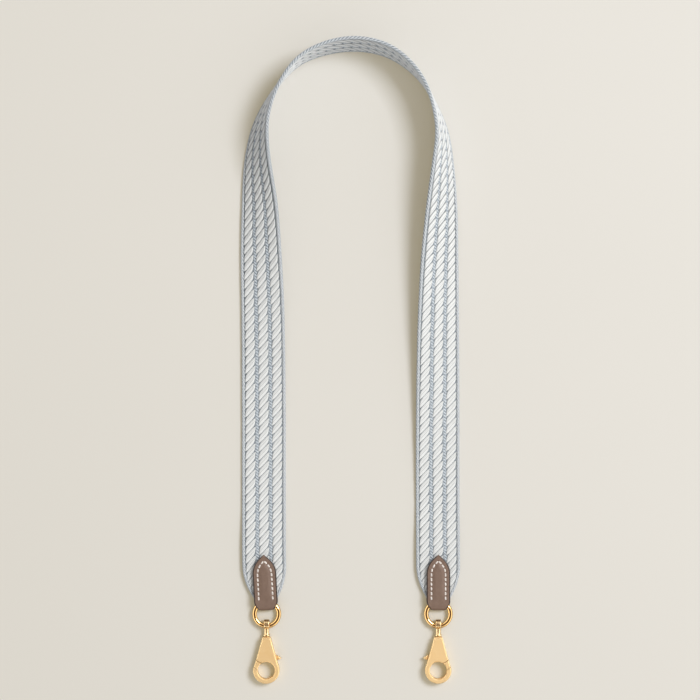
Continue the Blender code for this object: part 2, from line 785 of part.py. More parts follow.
def make_clip(name, across, tab_tilt, hook_tilt, nub_side, webbing, materials):
    """Everything on one end of the strap: tab, filler, thread, ring, swivel eye and snap hook."""
    centre = Vector((across * LEG_SPACING, -RING_DROP, MID_HEIGHT))
    tab_turn = Matrix.Rotation(math.radians(tab_tilt), 4, "Z")
    hook_turn = Matrix.Rotation(math.radians(hook_tilt), 4, "Z")
    wire = Vector((0.0, RING_RADIUS, 0.0))
    flat = Matrix.Translation((0.0, 0.0, -MID_HEIGHT))
    tab_place = Matrix.Translation(centre) @ tab_turn @ Matrix.Translation(wire)
    eye_place = Matrix.Translation(centre) @ hook_turn @ Matrix.Translation(-wire)
    facing = Matrix.Scale(nub_side, 4, (1.0, 0.0, 0.0))
    hook_place = eye_place @ Matrix.Translation((0.0, -eye_height(), 0.0)) @ facing
    pin = scaled([GATE_PIN_SHARES], HOOK_RADIUS)[0]
    here = (0.0, 0.0, 0.0)
    holes = hole_cutter("webbing_holes", -CUT_MARGIN, STACK_HEIGHT + CUT_MARGIN)
    holes.data.transform(tab_place @ flat)
    combined(webbing, holes, "DIFFERENCE")
    finish(make_leather_tab("leather_tab_" + name), materials["leather"], here, tab_place @ flat)
    finish(make_tab_filler("tab_filler_" + name), materials["filler"], here, tab_place @ flat)
    finish(make_tab_thread("tab_thread_" + name), materials["thread"], here, tab_place @ flat)
    finish(make_ring("ring_" + name), materials["polished"], here, tab_place)
    finish(make_swivel_eye("swivel_eye_" + name), materials["polished"], here, eye_place)
    finish(make_hook_body("hook_body_" + name), materials["satin"], here, hook_place)
    finish(make_gate_pin("gate_pin_" + name), materials["steel"], here, hook_place)
    finish(make_gate_spring("gate_spring_" + name), materials["steel"], here, hook_place)
    to_pin = hook_place @ Matrix.Translation((pin[0], pin[1], 0.0))
    finish(make_gate_lever("gate_lever_" + name), materials["satin"], here, to_pin)


def centre_on_origin():
    """Moves every piece so that the box round the whole strap stands on the origin."""
    bpy.context.view_layer.update()
    corners = []
    for item in bpy.data.objects:
        corners += [item.matrix_world @ vertex.co for vertex in item.data.vertices]
    low = Vector([min(corner[axis] for corner in corners) for axis in range(3)])
    high = Vector([max(corner[axis] for corner in corners) for axis in range(3)])
    shift = Vector(((low.x + high.x) / 2.0, (low.y + high.y) / 2.0, low.z))
    for item in bpy.data.objects:
        item.location = item.location - shift


def main():
    clear_scene()
    materials = make_materials()
    webbing = make_webbing()
    for name, across, tab_tilt, hook_tilt, nub_side in CLIPS:
        make_clip(name, across, tab_tilt, hook_tilt, nub_side, webbing, materials)
    finish(webbing, materials["webbing"], (0.0, 0.0, 0.0), Matrix.Identity(4))
    centre_on_origin()


main()
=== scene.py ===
"""Looks for a detachable bag strap: rope-ribbed cotton webbing with a stitched leather tab, a ring and a
swivel snap hook on each end, lying on a pale surface under soft light.

Metres, +Z up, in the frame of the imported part.
"""

import math
from contextlib import contextmanager
from functools import partial

import bmesh
import bpy
import numpy as np
from mathutils import Matrix, Vector


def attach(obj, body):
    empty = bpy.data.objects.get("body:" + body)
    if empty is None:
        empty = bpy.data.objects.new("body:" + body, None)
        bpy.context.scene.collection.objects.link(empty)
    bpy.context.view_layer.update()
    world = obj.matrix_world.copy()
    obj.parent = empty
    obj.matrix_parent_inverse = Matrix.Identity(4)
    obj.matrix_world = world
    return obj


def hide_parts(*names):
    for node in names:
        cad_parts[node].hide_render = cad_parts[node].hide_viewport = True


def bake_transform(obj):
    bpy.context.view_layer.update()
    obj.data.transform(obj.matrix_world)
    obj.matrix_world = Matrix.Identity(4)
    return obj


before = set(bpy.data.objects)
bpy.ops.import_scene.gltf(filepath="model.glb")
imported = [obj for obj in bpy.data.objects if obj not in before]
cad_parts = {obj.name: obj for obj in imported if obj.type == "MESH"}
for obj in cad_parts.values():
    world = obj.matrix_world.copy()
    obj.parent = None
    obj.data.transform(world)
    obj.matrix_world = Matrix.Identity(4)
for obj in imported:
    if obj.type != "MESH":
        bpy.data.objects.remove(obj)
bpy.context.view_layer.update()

# Sizes that repeat the solid model's, in metres

FRAME_SHIFT = (0.00119599, -0.13432716, 0.0)
WEBBING_WIDTH = 0.025
WEBBING_THICKNESS = 0.0019
LEG_SPACING = 0.0982
ARCH_HEIGHT = 0.3144
END_TAPER_LENGTH = 0.019
END_TAPER_SHARE = 0.53
END_TAPER_POWER = 2.0
RISE_LENGTH = 0.030
PATH_SMOOTHING = 0.005
PATH_STEP = 0.001

# The path of the middle of the webbing: across the legs as a share of their spacing, up the arch as a
# share of its height, and the lean of the band from lying flat as a share of a quarter turn.
PATH_SHARES = (
    (-0.500, 0.000, 0.000), (-0.510, 0.051, 0.000), (-0.513, 0.141, 0.000), (-0.514, 0.359, 0.033),
    (-0.520, 0.540, 0.133), (-0.528, 0.621, 0.233), (-0.534, 0.702, 0.367), (-0.546, 0.809, 0.644),
    (-0.530, 0.854, 0.767), (-0.491, 0.890, 0.867), (-0.440, 0.920, 0.933), (-0.296, 0.973, 1.033),
    (-0.186, 0.989, 1.078), (0.003, 1.000, 1.111), (0.205, 0.988, 1.089), (0.331, 0.961, 1.039),
    (0.417, 0.929, 0.983), (0.463, 0.898, 0.933), (0.498, 0.868, 0.870), (0.520, 0.835, 0.800),
    (0.522, 0.791, 0.689), (0.513, 0.684, 0.456), (0.504, 0.612, 0.344), (0.499, 0.540, 0.256),
    (0.495, 0.359, 0.089), (0.495, 0.141, 0.000), (0.497, 0.051, 0.000), (0.500, 0.000, 0.000),
)

FIT_GAP = 0.00015
LEATHER_THICKNESS = 0.0011
FOLD_THICKNESS = 0.0008
FILLER_THICKNESS = 0.00105
FILLER_INSET = 0.00035
TAB_WIDTH = 0.0134
TAB_LENGTH = 0.0318
TAB_POINT_LENGTH = 0.0108
TAB_POINT_POWER = 2.2
TAB_POINT_CROWDING = 1.5
TAB_FOLD_REACH = 0.0049
TAB_CORNER_HEIGHT = 0.0047
WEBBING_END_HEIGHT = 0.0018
STITCH_INSET = 0.0027
STITCH_START = 0.00095
STITCHES_PER_SIDE = 9
TAB_CORNER_SHARES = (
    (0.500, 0.00), (0.585, 0.02), (0.645, 0.07), (0.700, 0.18), (0.745, 0.30),
    (0.815, 0.45), (0.900, 0.64), (0.950, 0.78), (0.985, 0.93), (1.000, 1.12),
)

# What a tab has beyond its solid: plump stitches, a raised middle, a channel along the seam, a dimple at every
# hole, and edges rounded on the outer and the inner face.
STITCH_LENGTH = 0.00212
STITCH_HALF_WIDTH = 0.00047
STITCH_HALF_HEIGHT = 0.00034
TAB_DOME_HEIGHT = 0.00042
SEAM_CHANNEL_DEPTH = 0.00012
SEAM_CHANNEL_REACH = 0.00042
HOLE_DIMPLE_DEPTH = 0.00022
HOLE_DIMPLE_REACH = 0.00034
OUTER_ROUNDING = 0.00042
INNER_ROUNDING = 0.00012
LEATHER_WELD = 0.000004

# How far in from its edge the leather's rounding has its lines. The edge paint laps onto the face up to the last, a
# dark band that is real paint and also painted shade along the edge.
EDGE_COLUMNS = (0.0, 0.00005, 0.00011, 0.00018, 0.00026, 0.00036, 0.00048, 0.00064)
# How far below the tip of the tab its first rows lie.
TIP_ROWS = (0.0, 0.00008, 0.0002, 0.00035, 0.00055, 0.0008, 0.0011)

RING_RADIUS = 0.0069
RING_WIRE_RADIUS = 0.001375
RING_DROP = 0.0087

HOOK_RADIUS = 0.0075
HOOK_HOLE_RADIUS = 0.00485
HOOK_HEIGHT = 0.019
HOOK_TOP_WIDTH = 0.0048
HOOK_THICKNESS = 0.0054
HOOK_ROUND_FROM = 8.0
KNUCKLE_FROM = 195.0
KNUCKLE_TO = 275.0
CUT_MARGIN = 0.002
HOOK_SIDE_SHARES = ((0.767, 0.840), (0.860, 0.560), (0.940, 0.320))
GATE_PIN_SHARES = (-0.267, 1.200)
NOSE_LAP_SHARES = ((-1.040, 0.315), (-0.713, 0.073), (-0.610, -0.170))
SLOT_SHARES = (
    (1.020, 0.745), (1.020, 1.760), (-0.213, 1.587), (-0.480, 1.507), (-0.613, 1.280), (-0.640, 1.060),
    (-0.710, 0.840), (-0.620, 0.600), (-0.300, 0.500), (0.120, 0.600), (0.320, 0.755),
)
LEVER_ARM_SHARES = (
    (0.835, 0.793), (0.160, 0.840), (-0.067, 0.893), (-0.225, 0.860), (-0.380, 0.600), (-0.560, 0.520),
    (-0.690, 0.745), (-0.533, 1.040), (-0.540, 1.227), (-0.460, 1.400), (-0.267, 1.473), (-0.080, 1.413),
    (0.133, 1.320), (0.835, 1.133),
)
NUB_SHARES = ((0.815, 1.140), (1.140, 0.960), (1.100, 0.860), (0.925, 0.760), (0.865, 0.800), (0.790, 1.040))
GATE_KNUCKLE_RADIUS = 0.0045
GATE_GAP = 0.0003
LEVER_THICKNESS = 0.0016
SLOT_THICKNESS = 0.0020
NUB_THICKNESS = 0.0026
# How far in and how far down the hook's edges go: its outline has a flat chamfer, its hole a rounder rim.
HOOK_CHAMFER = (
    (0.00058, 0.0), (0.00049, 0.00003), (0.0004, 0.00009),
    (0.00009, 0.00038), (0.00003, 0.00047), (0.0, 0.00058),
)
HOOK_HOLE_RIM = (
    (0.00046, 0.0), (0.00034, 0.00004), (0.00022, 0.0001),
    (0.00009, 0.00022), (0.00003, 0.00034), (0.0, 0.00046),
)
SPRING_SHARES = (
    (0.490, 1.600), (-0.118, 1.551), (-0.141, 1.540), (-0.152, 1.518), (-0.146, 1.493),
    (-0.127, 1.478), (0.540, 1.268),
)
SPRING_THICKNESS = 0.0003
SPRING_WIDTH = 0.0014
PIN_RADIUS = 0.0008
PIN_WALL = 0.0006

EYE_RADIUS = 0.0028
EYE_WIDTH = 0.0031
EYE_HOLE_RADIUS = 0.00175
EYE_HOLE_LENGTH = 0.0043
EYE_HOLE_CLEARANCE = 0.0002
EYE_TOP_WALL = 0.0011
NECK_RADIUS = 0.0015
NECK_LENGTH = 0.0031
FLANGE_RADIUS = 0.0020
FLANGE_THICKNESS = 0.0011
SWIVEL_GAP = 0.0003
POST_RADIUS = 0.00095
POST_HEAD_RADIUS = 0.00145
POST_HEAD_THICKNESS = 0.0010
POST_WALL = 0.0026
HEAD_CHAMBER_DEPTH = 0.0045

STACK_HEIGHT = 2.0 * LEATHER_THICKNESS + WEBBING_THICKNESS + FILLER_THICKNESS + 3.0 * FIT_GAP
MID_HEIGHT = STACK_HEIGHT / 2.0
# The stitches of the front and of the back lie a little sunk into the leather.
STITCH_HEIGHTS = (STACK_HEIGHT - 0.00008, 0.00016)

# Where each clip hangs: name, ring across as a share of the leg spacing, tilt of the tab and of the hook
# in degrees, and the side that the thumb nub is on.
CLIPS = (
    ("left", -0.4965, 2.9, -0.3, 1.0),
    ("right", 0.4975, 0.0, -0.2, -1.0),
)

# Sizes of the weave, in metres

EDGE_ROLL_WIDTH = 0.00185
EDGE_ROLL_HEIGHT = 0.0019
EDGE_ROLL_PITCH = 0.0021
EDGE_ROLL_STRANDS = {"strands": 4, "strand_width": 0.00125, "strand_height": 0.00076, "edge_share": 1.05, "rings": 4}
# The turn of a cord's or roll's first strand at the start of the band, in radians.
ROPE_START_TURN = 0.31
DITCH_ACROSS = 0.00385
DITCH_CORD_WIDTH = 0.0023
DITCH_CORD_HEIGHT = 0.0011
DITCH_CORD_PITCH = 0.0017
DITCH_CORD_STRANDS = {"strands": 2, "strand_width": 0.00115, "strand_height": 0.0008, "edge_share": 0.8, "rings": 6}
RIB_WIDTH = 0.0066
SIDE_RIB_ACROSS = 0.0077
RIB_PITCH = 0.0049
# The rows drift across, swell and slip along the strap: seed, step and size of each. The slip fades out at the ends.
ROW_WANDERS = ((0, 0.013, 0.00010), (50, 0.009, 0.035), (90, 0.021, 0.00030))
SLIP_FADE = 0.02
ROW_END_GAP = 0.0002
# Where the strap tapers, the edge roll keeps this share of its width, and the rows beside it are squeezed and sink.
ROLL_ROOM_SHARE = 0.85
SQUEEZE_REACH = 0.0008
SINK_REACH = 0.004
SINK_SHARE = 0.55
# The ground cloth: a station every so far along it, how far it stays in from the edges, and half its thickness.
GROUND_STEP = 0.004
GROUND_INSET = 0.0011
GROUND_HALF_THICKNESS = 0.00022
# From this lean on, in degrees, the strap counts as standing on its edge.
STANDING_LEAN = 50.0
# The ribs are thicker by this share where the strap stands on its edge, with nothing to press them flat.
STANDING_SWELL_SHARE = 0.32
# There the side ribs also draw away from the edge rolls by this much.
STANDING_GAP = 0.0010
# And there the painted shade in the grooves deepens, and painted shade spreads over the sides of a rib, from this
# share of its half width outwards.
STANDING_GROOVE_POWER = 1.0
STANDING_SIDE_SHADE = 0.9
SIDE_SHADE_FROM = 0.84

# A rib strand lies as a float on each face: how much of its pitch it fills, how far it climbs along the
# strap on each side of its middle, how much it steepens at its ends, and how far its tips lean outwards.
FLOAT_FILL_SHARE = 0.995
FLOAT_CLIMB = 0.0034
FLOAT_END_CLIMB_SHARE = 0.30
FLOAT_TIP_LEAN = 0.00022
# A crease runs down the middle of a strand: its depth and reach as shares of the strand's half height and width.
FLOAT_CREASE_DEPTH = 0.10
FLOAT_CREASE_REACH = 0.13

# Round the section of a strand, in degrees: close together on its outer side, where it shows.
SECTION_ANGLES = (0, 18, 40, 64, 82, 90, 98, 116, 140, 162, 180, 215, 250, 290, 325)

RANDOM_SEED = 7

# Camera and floor, in metres

CAMERA_HEIGHT = 1.3
PICTURE_WIDTH = 0.399
PICTURE_MIDDLE = (-0.00017, 0.00704)
FLOOR_REACH = 4.0

# Light: how strong the room's is all round, which way and how much it leans, and how strong it is in reflections.
ROOM_STRENGTH = 0.5
ROOM_LEAN = (0.12, -0.22, 0.0)
MIRRORED_STRENGTH = 2.5


# Small helpers

def rgb(code):
    """An sRGB hex colour as linear red, green and blue with full opacity."""
    parts = [int(code[place : place + 2], 16) / 255.0 for place in (1, 3, 5)]
    linear = [part / 12.92 if part <= 0.04045 else ((part + 0.055) / 1.055) ** 2.4 for part in parts]
    return (*linear, 1.0)


SMOOTH = {"interpolation_type": "SMOOTHSTEP"}
COLOURS = {"out": 2, "data_type": "RGBA"}


def add(tree, kind, inputs=(), out=0, **settings):
    """Adds a node with its settings, links or sets its inputs by name or in order, and gives one output."""
    node = tree.nodes.new(kind if "Node" in kind else "ShaderNode" + kind)
    for name, value in settings.items():
        setattr(node, name, value)
    for key, value in inputs.items() if isinstance(inputs, dict) else enumerate(inputs):
        if isinstance(value, bpy.types.NodeSocket):
            tree.links.new(value, node.inputs[key])
        else:
            node.inputs[key].default_value = value
    return node.outputs[out] if node.outputs else node


def mesh_object(name, vertices, faces, smooth=True):
    mesh = bpy.data.meshes.new(name)
    mesh.from_pydata([tuple(map(float, v)) for v in vertices], [], faces)
    mesh.update()
    if smooth:
        mesh.shade_smooth()
    made = bpy.data.objects.new(name, mesh)
    bpy.context.scene.collection.objects.link(made)
    return made


def net(rows, columns, first=0, ring=False):
    """Faces over closed rows of points. A ring also joins the last row to the first."""
    faces = []
    for row in range(rows if ring else rows - 1):
        low, high = first + row * columns, first + (row + 1) % rows * columns
        for step in range(columns):
            after = (step + 1) % columns
            faces.append((low + step, low + after, high + after, high + step))
    return faces


@contextmanager
def edited(item):
    """An object's mesh, opened for editing and then written back."""
    shape = bmesh.new()
    shape.from_mesh(item.data)
    yield shape
    shape.to_mesh(item.data)
    shape.free()
    item.data.update()


def tidied(item, weld=0.0, fill=False):
    """Welds doubles, closes open ends and turns all faces outwards."""
    with edited(item) as shape:
        if weld:
            bmesh.ops.remove_doubles(shape, verts=shape.verts, dist=weld)
        if fill:
            bmesh.ops.holes_fill(shape, edges=[edge for edge in shape.edges if edge.is_boundary])
        bmesh.ops.recalc_face_normals(shape, faces=shape.faces)
    return item


def shade_by_angle(item, degrees, flat_sides=False):
    """Smooth shading with sharp lines where faces meet at more than an angle. Flat sides can stay quite flat."""
    item.data.shade_smooth()
    limit = math.radians(degrees)
    with edited(item) as shape:
        for edge in shape.edges:
            edge.smooth = len(edge.link_faces) == 2 and edge.calc_face_angle(math.pi) < limit
        for face in shape.faces:
            face.smooth = not (flat_sides and max(abs(part) for part in face.normal) > 0.99995)
    return item


def baked(item):
    """Keeps what an object's modifiers make of it as its plain mesh."""
    bpy.context.view_layer.update()
    graph = bpy.context.evaluated_depsgraph_get()
    mesh = bpy.data.meshes.new_from_object(item.evaluated_get(graph))
    item.modifiers.clear()
    item.data = mesh
    return item


def lofted(name, loops, closed=False, smooth=False):
    """A solid skin over loops of points that all have the same count; the ends are capped unless closed."""
    count, total = len(loops[0]), len(loops)
    faces = net(total, count, ring=closed)
    if not closed:
        faces += [tuple(range(count)), tuple((total - 1) * count + step for step in reversed(range(count)))]
    return tidied(mesh_object(name, [point for loop in loops for point in loop], faces, smooth))


def point_values(items, name, width):
    """One property of all items, as rows of numbers."""
    values = np.zeros(len(items) * width)
    items.foreach_get(name, values)
    return values.reshape(-1, width)


def smoothstep(value):
    value = np.clip(value, 0.0, 1.0)
    return value * value * (3.0 - 2.0 * value)


def wander(seed, length, step, size):
    """A slow random drift along a length, as a function of the place on it."""
    count = int(length / step) + 4
    values = np.random.RandomState(seed).uniform(-size, size, count)
    return lambda place: np.interp(place / step, np.arange(count), values)


# Materials

def new_material(name, constants):
    """A material with its shader's constants set, and the call that adds a node to it."""
    made = bpy.data.materials.new(name)
    made.use_nodes = True
    for socket, value in constants.items():
        made.node_tree.nodes["Principled BSDF"].inputs[socket].default_value = value
    return made, partial(add, made.node_tree)


def surfaced(made, colour, bump=(), **others):
    """Links a material's colour, its bump (height, strength, depth) and other results to its shader."""
    tree = made.node_tree
    shader = tree.nodes["Principled BSDF"].inputs
    if bump:
        others["Normal"] = add(tree, "Bump", dict(zip(("Height", "Strength", "Distance"), bump)))
    for socket, value in {"Base Color": colour, **others}.items():
        tree.links.new(value, shader[socket])
    return made


def make_white_cotton():
    """Mercerised white cotton yarn, plied and woven: soft, matt, with fine twisted plies along each strand."""
    made, node = new_material("white_cotton_yarn", {"Roughness": 0.82, "Sheen Weight": 0.15, "Sheen Roughness": 0.5})
    along, around = node("SeparateXYZ", (node("UVMap", uv_map="yarn"),)).node.outputs[:2]
    place = node("TexCoord", out="Object")
    # Plies: lines along the strand, about 0.4 mm apart, leaning as twisted yarn does.
    lean = node("Math", (along, 2.0 * math.tau), operation="MULTIPLY")
    turn = node("Math", (around, 16.0 * math.tau, lean), operation="MULTIPLY_ADD")
    plies = node("Math", (turn,), operation="SINE")
    fuzz = node("TexNoise", {"Vector": place, "Scale": 2600.0, "Detail": 3.0}, "Fac")
    tint = node("TexNoise", {"Vector": place, "Scale": 260.0, "Detail": 2.0}, "Fac")
    # Painted shade: the strand flanks, which lie in the grooves, and the crease down the middle are darkened to grey.
    relief_shade = node("Attribute", out="Fac", attribute_name="relief_shade")
    groove_shade = node("MapRange", (relief_shade, 0.15, 0.62, 1.0, 0.0), **SMOOTH)
    off_middle = node("Math", (around, 0.25), operation="SUBTRACT")
    off_crease = node("Math", (off_middle,), operation="ABSOLUTE")
    crease = node("MapRange", (off_crease, 0.0, 0.045, 0.65, 0.0), **SMOOTH)
    dark = node("Math", (groove_shade, crease), operation="MAXIMUM")
    body = node("Mix", {0: tint, 6: rgb("#F5F6F4"), 7: rgb("#EAEBE9")}, **COLOURS)
    shade = node("Mix", {0: dark, 6: body, 7: rgb("#AFB0AF")}, **COLOURS)
    # Painted shade: where the strap stands on its edge, the sides of a rib are darkened to blue-grey, the dark line of
    # shade beside the edge rolls.
    painted_side_shade = node("MapRange", (relief_shade, -0.5, 0.0, 1.0, 0.0), **SMOOTH)
    deep = node("Mix", {0: painted_side_shade, 6: shade, 7: rgb("#76828E")}, **COLOURS)
    height = node("Math", (plies, 0.30, fuzz), operation="MULTIPLY_ADD")
    return surfaced(made, deep, (height, 0.55, 0.00008))


def make_grey_cotton(name, light, dark_fleck, shade_colour):
    """Blue-grey cotton yarn, twisted and woven tight: matt, with light flecks where fibres catch the light."""
    made, node = new_material(name, {"Roughness": 0.85, "Sheen Weight": 0.15})
    around = node("SeparateXYZ", (node("UVMap", uv_map="yarn"),), "Y")
    turn = node("Math", (around, 2.0 * math.tau), operation="MULTIPLY")
    side = node("Math", (turn,), operation="COSINE")
    place = node("TexCoord", out="Object")
    flecks = node("TexNoise", {"Vector": place, "Scale": 1500.0, "Detail": 4.0, "Roughness": 0.6}, "Fac")
    level = node("MapRange", (flecks, 0.35, 0.65))
    body = node("Mix", {0: level, 6: rgb(dark_fleck), 7: rgb(light)}, **COLOURS)
    # Painted shade on the sides of each strand, where it lies against its neighbours.
    groove_shade = node("MapRange", (side, -0.45, 0.6))
    shade = node("Mix", {0: groove_shade, 6: body, 7: rgb(shade_colour)}, **COLOURS)
    return surfaced(made, shade, (flecks, 0.5, 0.00008))


def make_calf_leather():
    """Taupe calf leather, drum dyed and boarded: smooth with a fine grain of 0.3 mm cells and a low sheen."""
    made, node = new_material("taupe_calf_leather", {"Roughness": 0.5})
    place = node("TexCoord", out="Object")
    cells = node("TexVoronoi", {"Vector": place, "Scale": 3200.0}, "Distance", feature="DISTANCE_TO_EDGE")
    cloud = node("TexNoise", {"Vector": place, "Scale": 420.0, "Detail": 3.0}, "Fac")
    pores = node("TexNoise", {"Vector": place, "Scale": 2300.0, "Detail": 4.0}, "Fac")
    colour = node("Mix", {0: cloud, 6: rgb("#796152"), 7: rgb("#8A7161")}, **COLOURS)
    gloss = node("MapRange", (pores, 0.3, 0.7, 0.42, 0.60))
    crease = node("MapRange", (cells, 0.0, 0.18), **SMOOTH)
    height = node("Math", (crease, pores), operation="ADD")
    return surfaced(made, colour, (height, 0.35, 0.00005), Roughness=gloss)


def make_gold(name, colours, roughness, spread, grain, strength):
    """Gold-plated brass. Polished, it mirrors the room; satin, blasted and brushed fine, it glows evenly."""
    made, node = new_material(name, {"Roughness": roughness, "Metallic": 1.0})
    place = node("TexCoord", out="Object")
    fine = node("TexNoise", {"Vector": place, "Scale": grain, "Detail": 4.0}, "Fac")
    broad = node("TexNoise", {"Vector": place, "Scale": 300.0, "Detail": 2.0}, "Fac")
    colour = node("Mix", {0: broad, 6: rgb(colours[0]), 7: rgb(colours[1])}, **COLOURS)
    gloss = node("MapRange", (fine, 0.3, 0.7, roughness - spread, roughness + spread))
    return surfaced(made, colour, (fine, strength, 0.00002), Roughness=gloss)


def make_two_tone(name, constants, kind, pattern, colours, bump=(), **settings):
    """A material of two near tones in one fine pattern, which also raises its bump by a strength and depth."""
    made, node = new_material(name, constants)
    level = node(kind, {"Vector": node("TexCoord", out="Object"), **pattern}, "Fac", **settings)
    colour = node("Mix", {0: level, 6: rgb(colours[0]), 7: rgb(colours[1])}, **COLOURS)
    return surfaced(made, colour, bump and (level, *bump))


def make_floor_paper():
    """Smooth pale background paper. Camera rays get a little warm glow, which lifts and warms the shadows."""
    constants = {"Roughness": 0.95, "Specular IOR Level": 0.0, "Emission Color": rgb("#FFDA48")}
    pattern = {"Scale": 6.0, "Detail": 2.0}
    paper = make_two_tone("pale_background_paper", constants, "TexNoise", pattern, ("#D3D5DA", "#D5D7DC"))
    tree = paper.node_tree
    glow = add(tree, "Math", (add(tree, "LightPath", out="Is Camera Ray"), 0.15), operation="MULTIPLY")
    tree.links.new(glow, tree.nodes["Principled BSDF"].inputs["Emission Strength"])
    return paper


def make_finishes():
    return {
        "white": make_white_cotton(),
        # The last colour of each grey yarn is its painted shade along the strands' sides.
        "ditch": make_grey_cotton("grey_cotton_ditch_cord", "#DFE5EA", "#BDC6CE", "#939EA8"),
        "edge": make_grey_cotton("grey_cotton_edge_yarn", "#E4E7E9", "#BAC0C5", "#7E8890"),
        # The ground cloth between the ribs: plain tight grey weave, one thread every 0.6 mm.
        "ground": make_two_tone(
            "grey_cotton_ground", {"Roughness": 0.9}, "TexWave", {"Scale": 260.0, "Distortion": 1.0},
            ("#848B91", "#A0A7AD"), (0.4, 0.0001), bands_direction="DIAGONAL",
        ),
        "leather": make_calf_leather(),
        # Dark edge paint, brushed on the cut edge of the leather and rubbed: slightly glossy and uneven. Its dark lap
        # onto the face also stands in for painted shade along the tab's edge.
        "edge_paint": make_two_tone(
            "dark_edge_paint", {"Roughness": 0.42}, "TexNoise", {"Scale": 900.0, "Detail": 3.0},
            ("#2C1F1A", "#3B2B25"), (0.3, 0.00008),
        ),
        # Waxed off-white linen thread, plied: a low shine and a twist line every 0.5 mm.
        "thread": make_two_tone(
            "waxed_linen_thread", {"Roughness": 0.55}, "TexWave", {"Scale": 300.0, "Distortion": 2.0},
            ("#EADFD7", "#FFF8F1"), (0.6, 0.0001), bands_direction="DIAGONAL",
        ),
        "polished": make_gold("polished_gold_plate", ("#E9BE7C", "#EFC888"), 0.07, 0.02, 2500.0, 0.03),
        "burnished": make_gold("burnished_gold_plate", ("#F1D198", "#F6DAA8"), 0.30, 0.02, 3800.0, 0.08),
        "satin": make_gold("satin_gold_plate", ("#F1D198", "#F6DAA8"), 0.58, 0.02, 6500.0, 0.10),
        # Drawn and tempered steel: plain grey with faint drawing lines.
        "steel": make_two_tone(
            "drawn_spring_steel", {"Roughness": 0.3, "Metallic": 1.0}, "TexNoise", {"Scale": 1800.0, "Detail": 3.0},
            ("#A9AAAD", "#C2C3C6"),
        ),
    }


# Repeating by geometry nodes

def new_group(name, result, inputs):
    """A geometry nodes tree with its named inputs, its output, and the call that adds a node to it."""
    tree = bpy.data.node_groups.new(name, "GeometryNodeTree")
    for label, kind, value in inputs:
        socket = tree.interface.new_socket(name=label, in_out="INPUT", socket_type="NodeSocket" + kind)
        if value is not None:
            socket.default_value = value
    tree.interface.new_socket(name=result, in_out="OUTPUT", socket_type="NodeSocketGeometry")
    return tree, partial(add, tree)


def repeat_tree():
    """Sets a cell many times in a row, a pitch apart, and welds the joints."""
    tree, node = new_group("repeat_cell_in_a_row", "Row", (
        ("Cell", "Geometry", None),
        ("Pitch", "Float", 0.005),
        ("Count", "Int", 10),
        ("Weld", "Float", 0.000002),
        ("Material", "Material", None),
    ))
    cell, pitch, count, weld, material = node("NodeGroupInput").node.outputs[:5]
    line = node("GeometryNodeMeshLine", {"Count": count, "Offset": node("CombineXYZ", {"Y": pitch})}, mode="OFFSET")
    placed = node("GeometryNodeInstanceOnPoints", {"Points": line, "Instance": cell})
    real = node("GeometryNodeRealizeInstances", (placed,))
    welded = node("GeometryNodeMergeByDistance", {"Geometry": real, "Distance": weld})
    node("NodeGroupOutput", (node("GeometryNodeSetMaterial", {"Geometry": welded, "Material": material}),))
    return tree


def scatter_tree():
    """Sets a shape on every point of a mesh, turned about Z by the point's own angle."""
    tree, node = new_group("shape_on_points", "Shapes", (
        ("Points", "Geometry", None),
        ("Shape", "Object", None),
        ("Size", "Float", 1.0),
        ("Slant", "Float", 0.0),
        ("Unevenness", "Float", 0.05),
        ("Seed", "Int", RANDOM_SEED),
        ("Material", "Material", None),
    ))
    points, shape, size, slant, uneven, seed, material = node("NodeGroupInput").node.outputs[:7]
    geometry = node("GeometryNodeObjectInfo", {"Object": shape}, "Geometry")
    angle = node("GeometryNodeInputNamedAttribute", {"Name": "turn"}, "Attribute", data_type="FLOAT")
    turned_by = node("Math", (angle, slant), operation="ADD")
    least = node("Math", (size, uneven), operation="SUBTRACT")
    most = node("Math", (size, uneven), operation="ADD")
    scale = node("FunctionNodeRandomValue", {2: least, 3: most, "Seed": seed}, 1, data_type="FLOAT")
    spin = node("CombineXYZ", {"Z": turned_by})
    where = {"Points": points, "Instance": geometry, "Rotation": spin, "Scale": scale}
    real = node("GeometryNodeRealizeInstances", (node("GeometryNodeInstanceOnPoints", where),))
    node("NodeGroupOutput", (node("GeometryNodeSetMaterial", {"Geometry": real, "Material": material}),))
    return tree


def grown(item, tree, values):
    """Runs a geometry nodes tree on an object and keeps the result as its plain mesh."""
    modifier = item.modifiers.new("grow", "NODES")
    modifier.node_group = tree
    for socket in tree.interface.items_tree:
        if socket.in_out == "INPUT" and socket.name in values:
            modifier[socket.identifier] = values[socket.name]
    return baked(item)


# Webbing

def smoothed(values, window):
    reach = len(window) // 2
    before = 2.0 * values[0] - values[reach:0:-1]
    after = 2.0 * values[-1] - values[-2 : -reach - 2 : -1]
    padded = np.concatenate([before, values, after])
    return np.stack([np.convolve(padded[:, column], window, "valid") for column in range(values.shape[1])], 1)


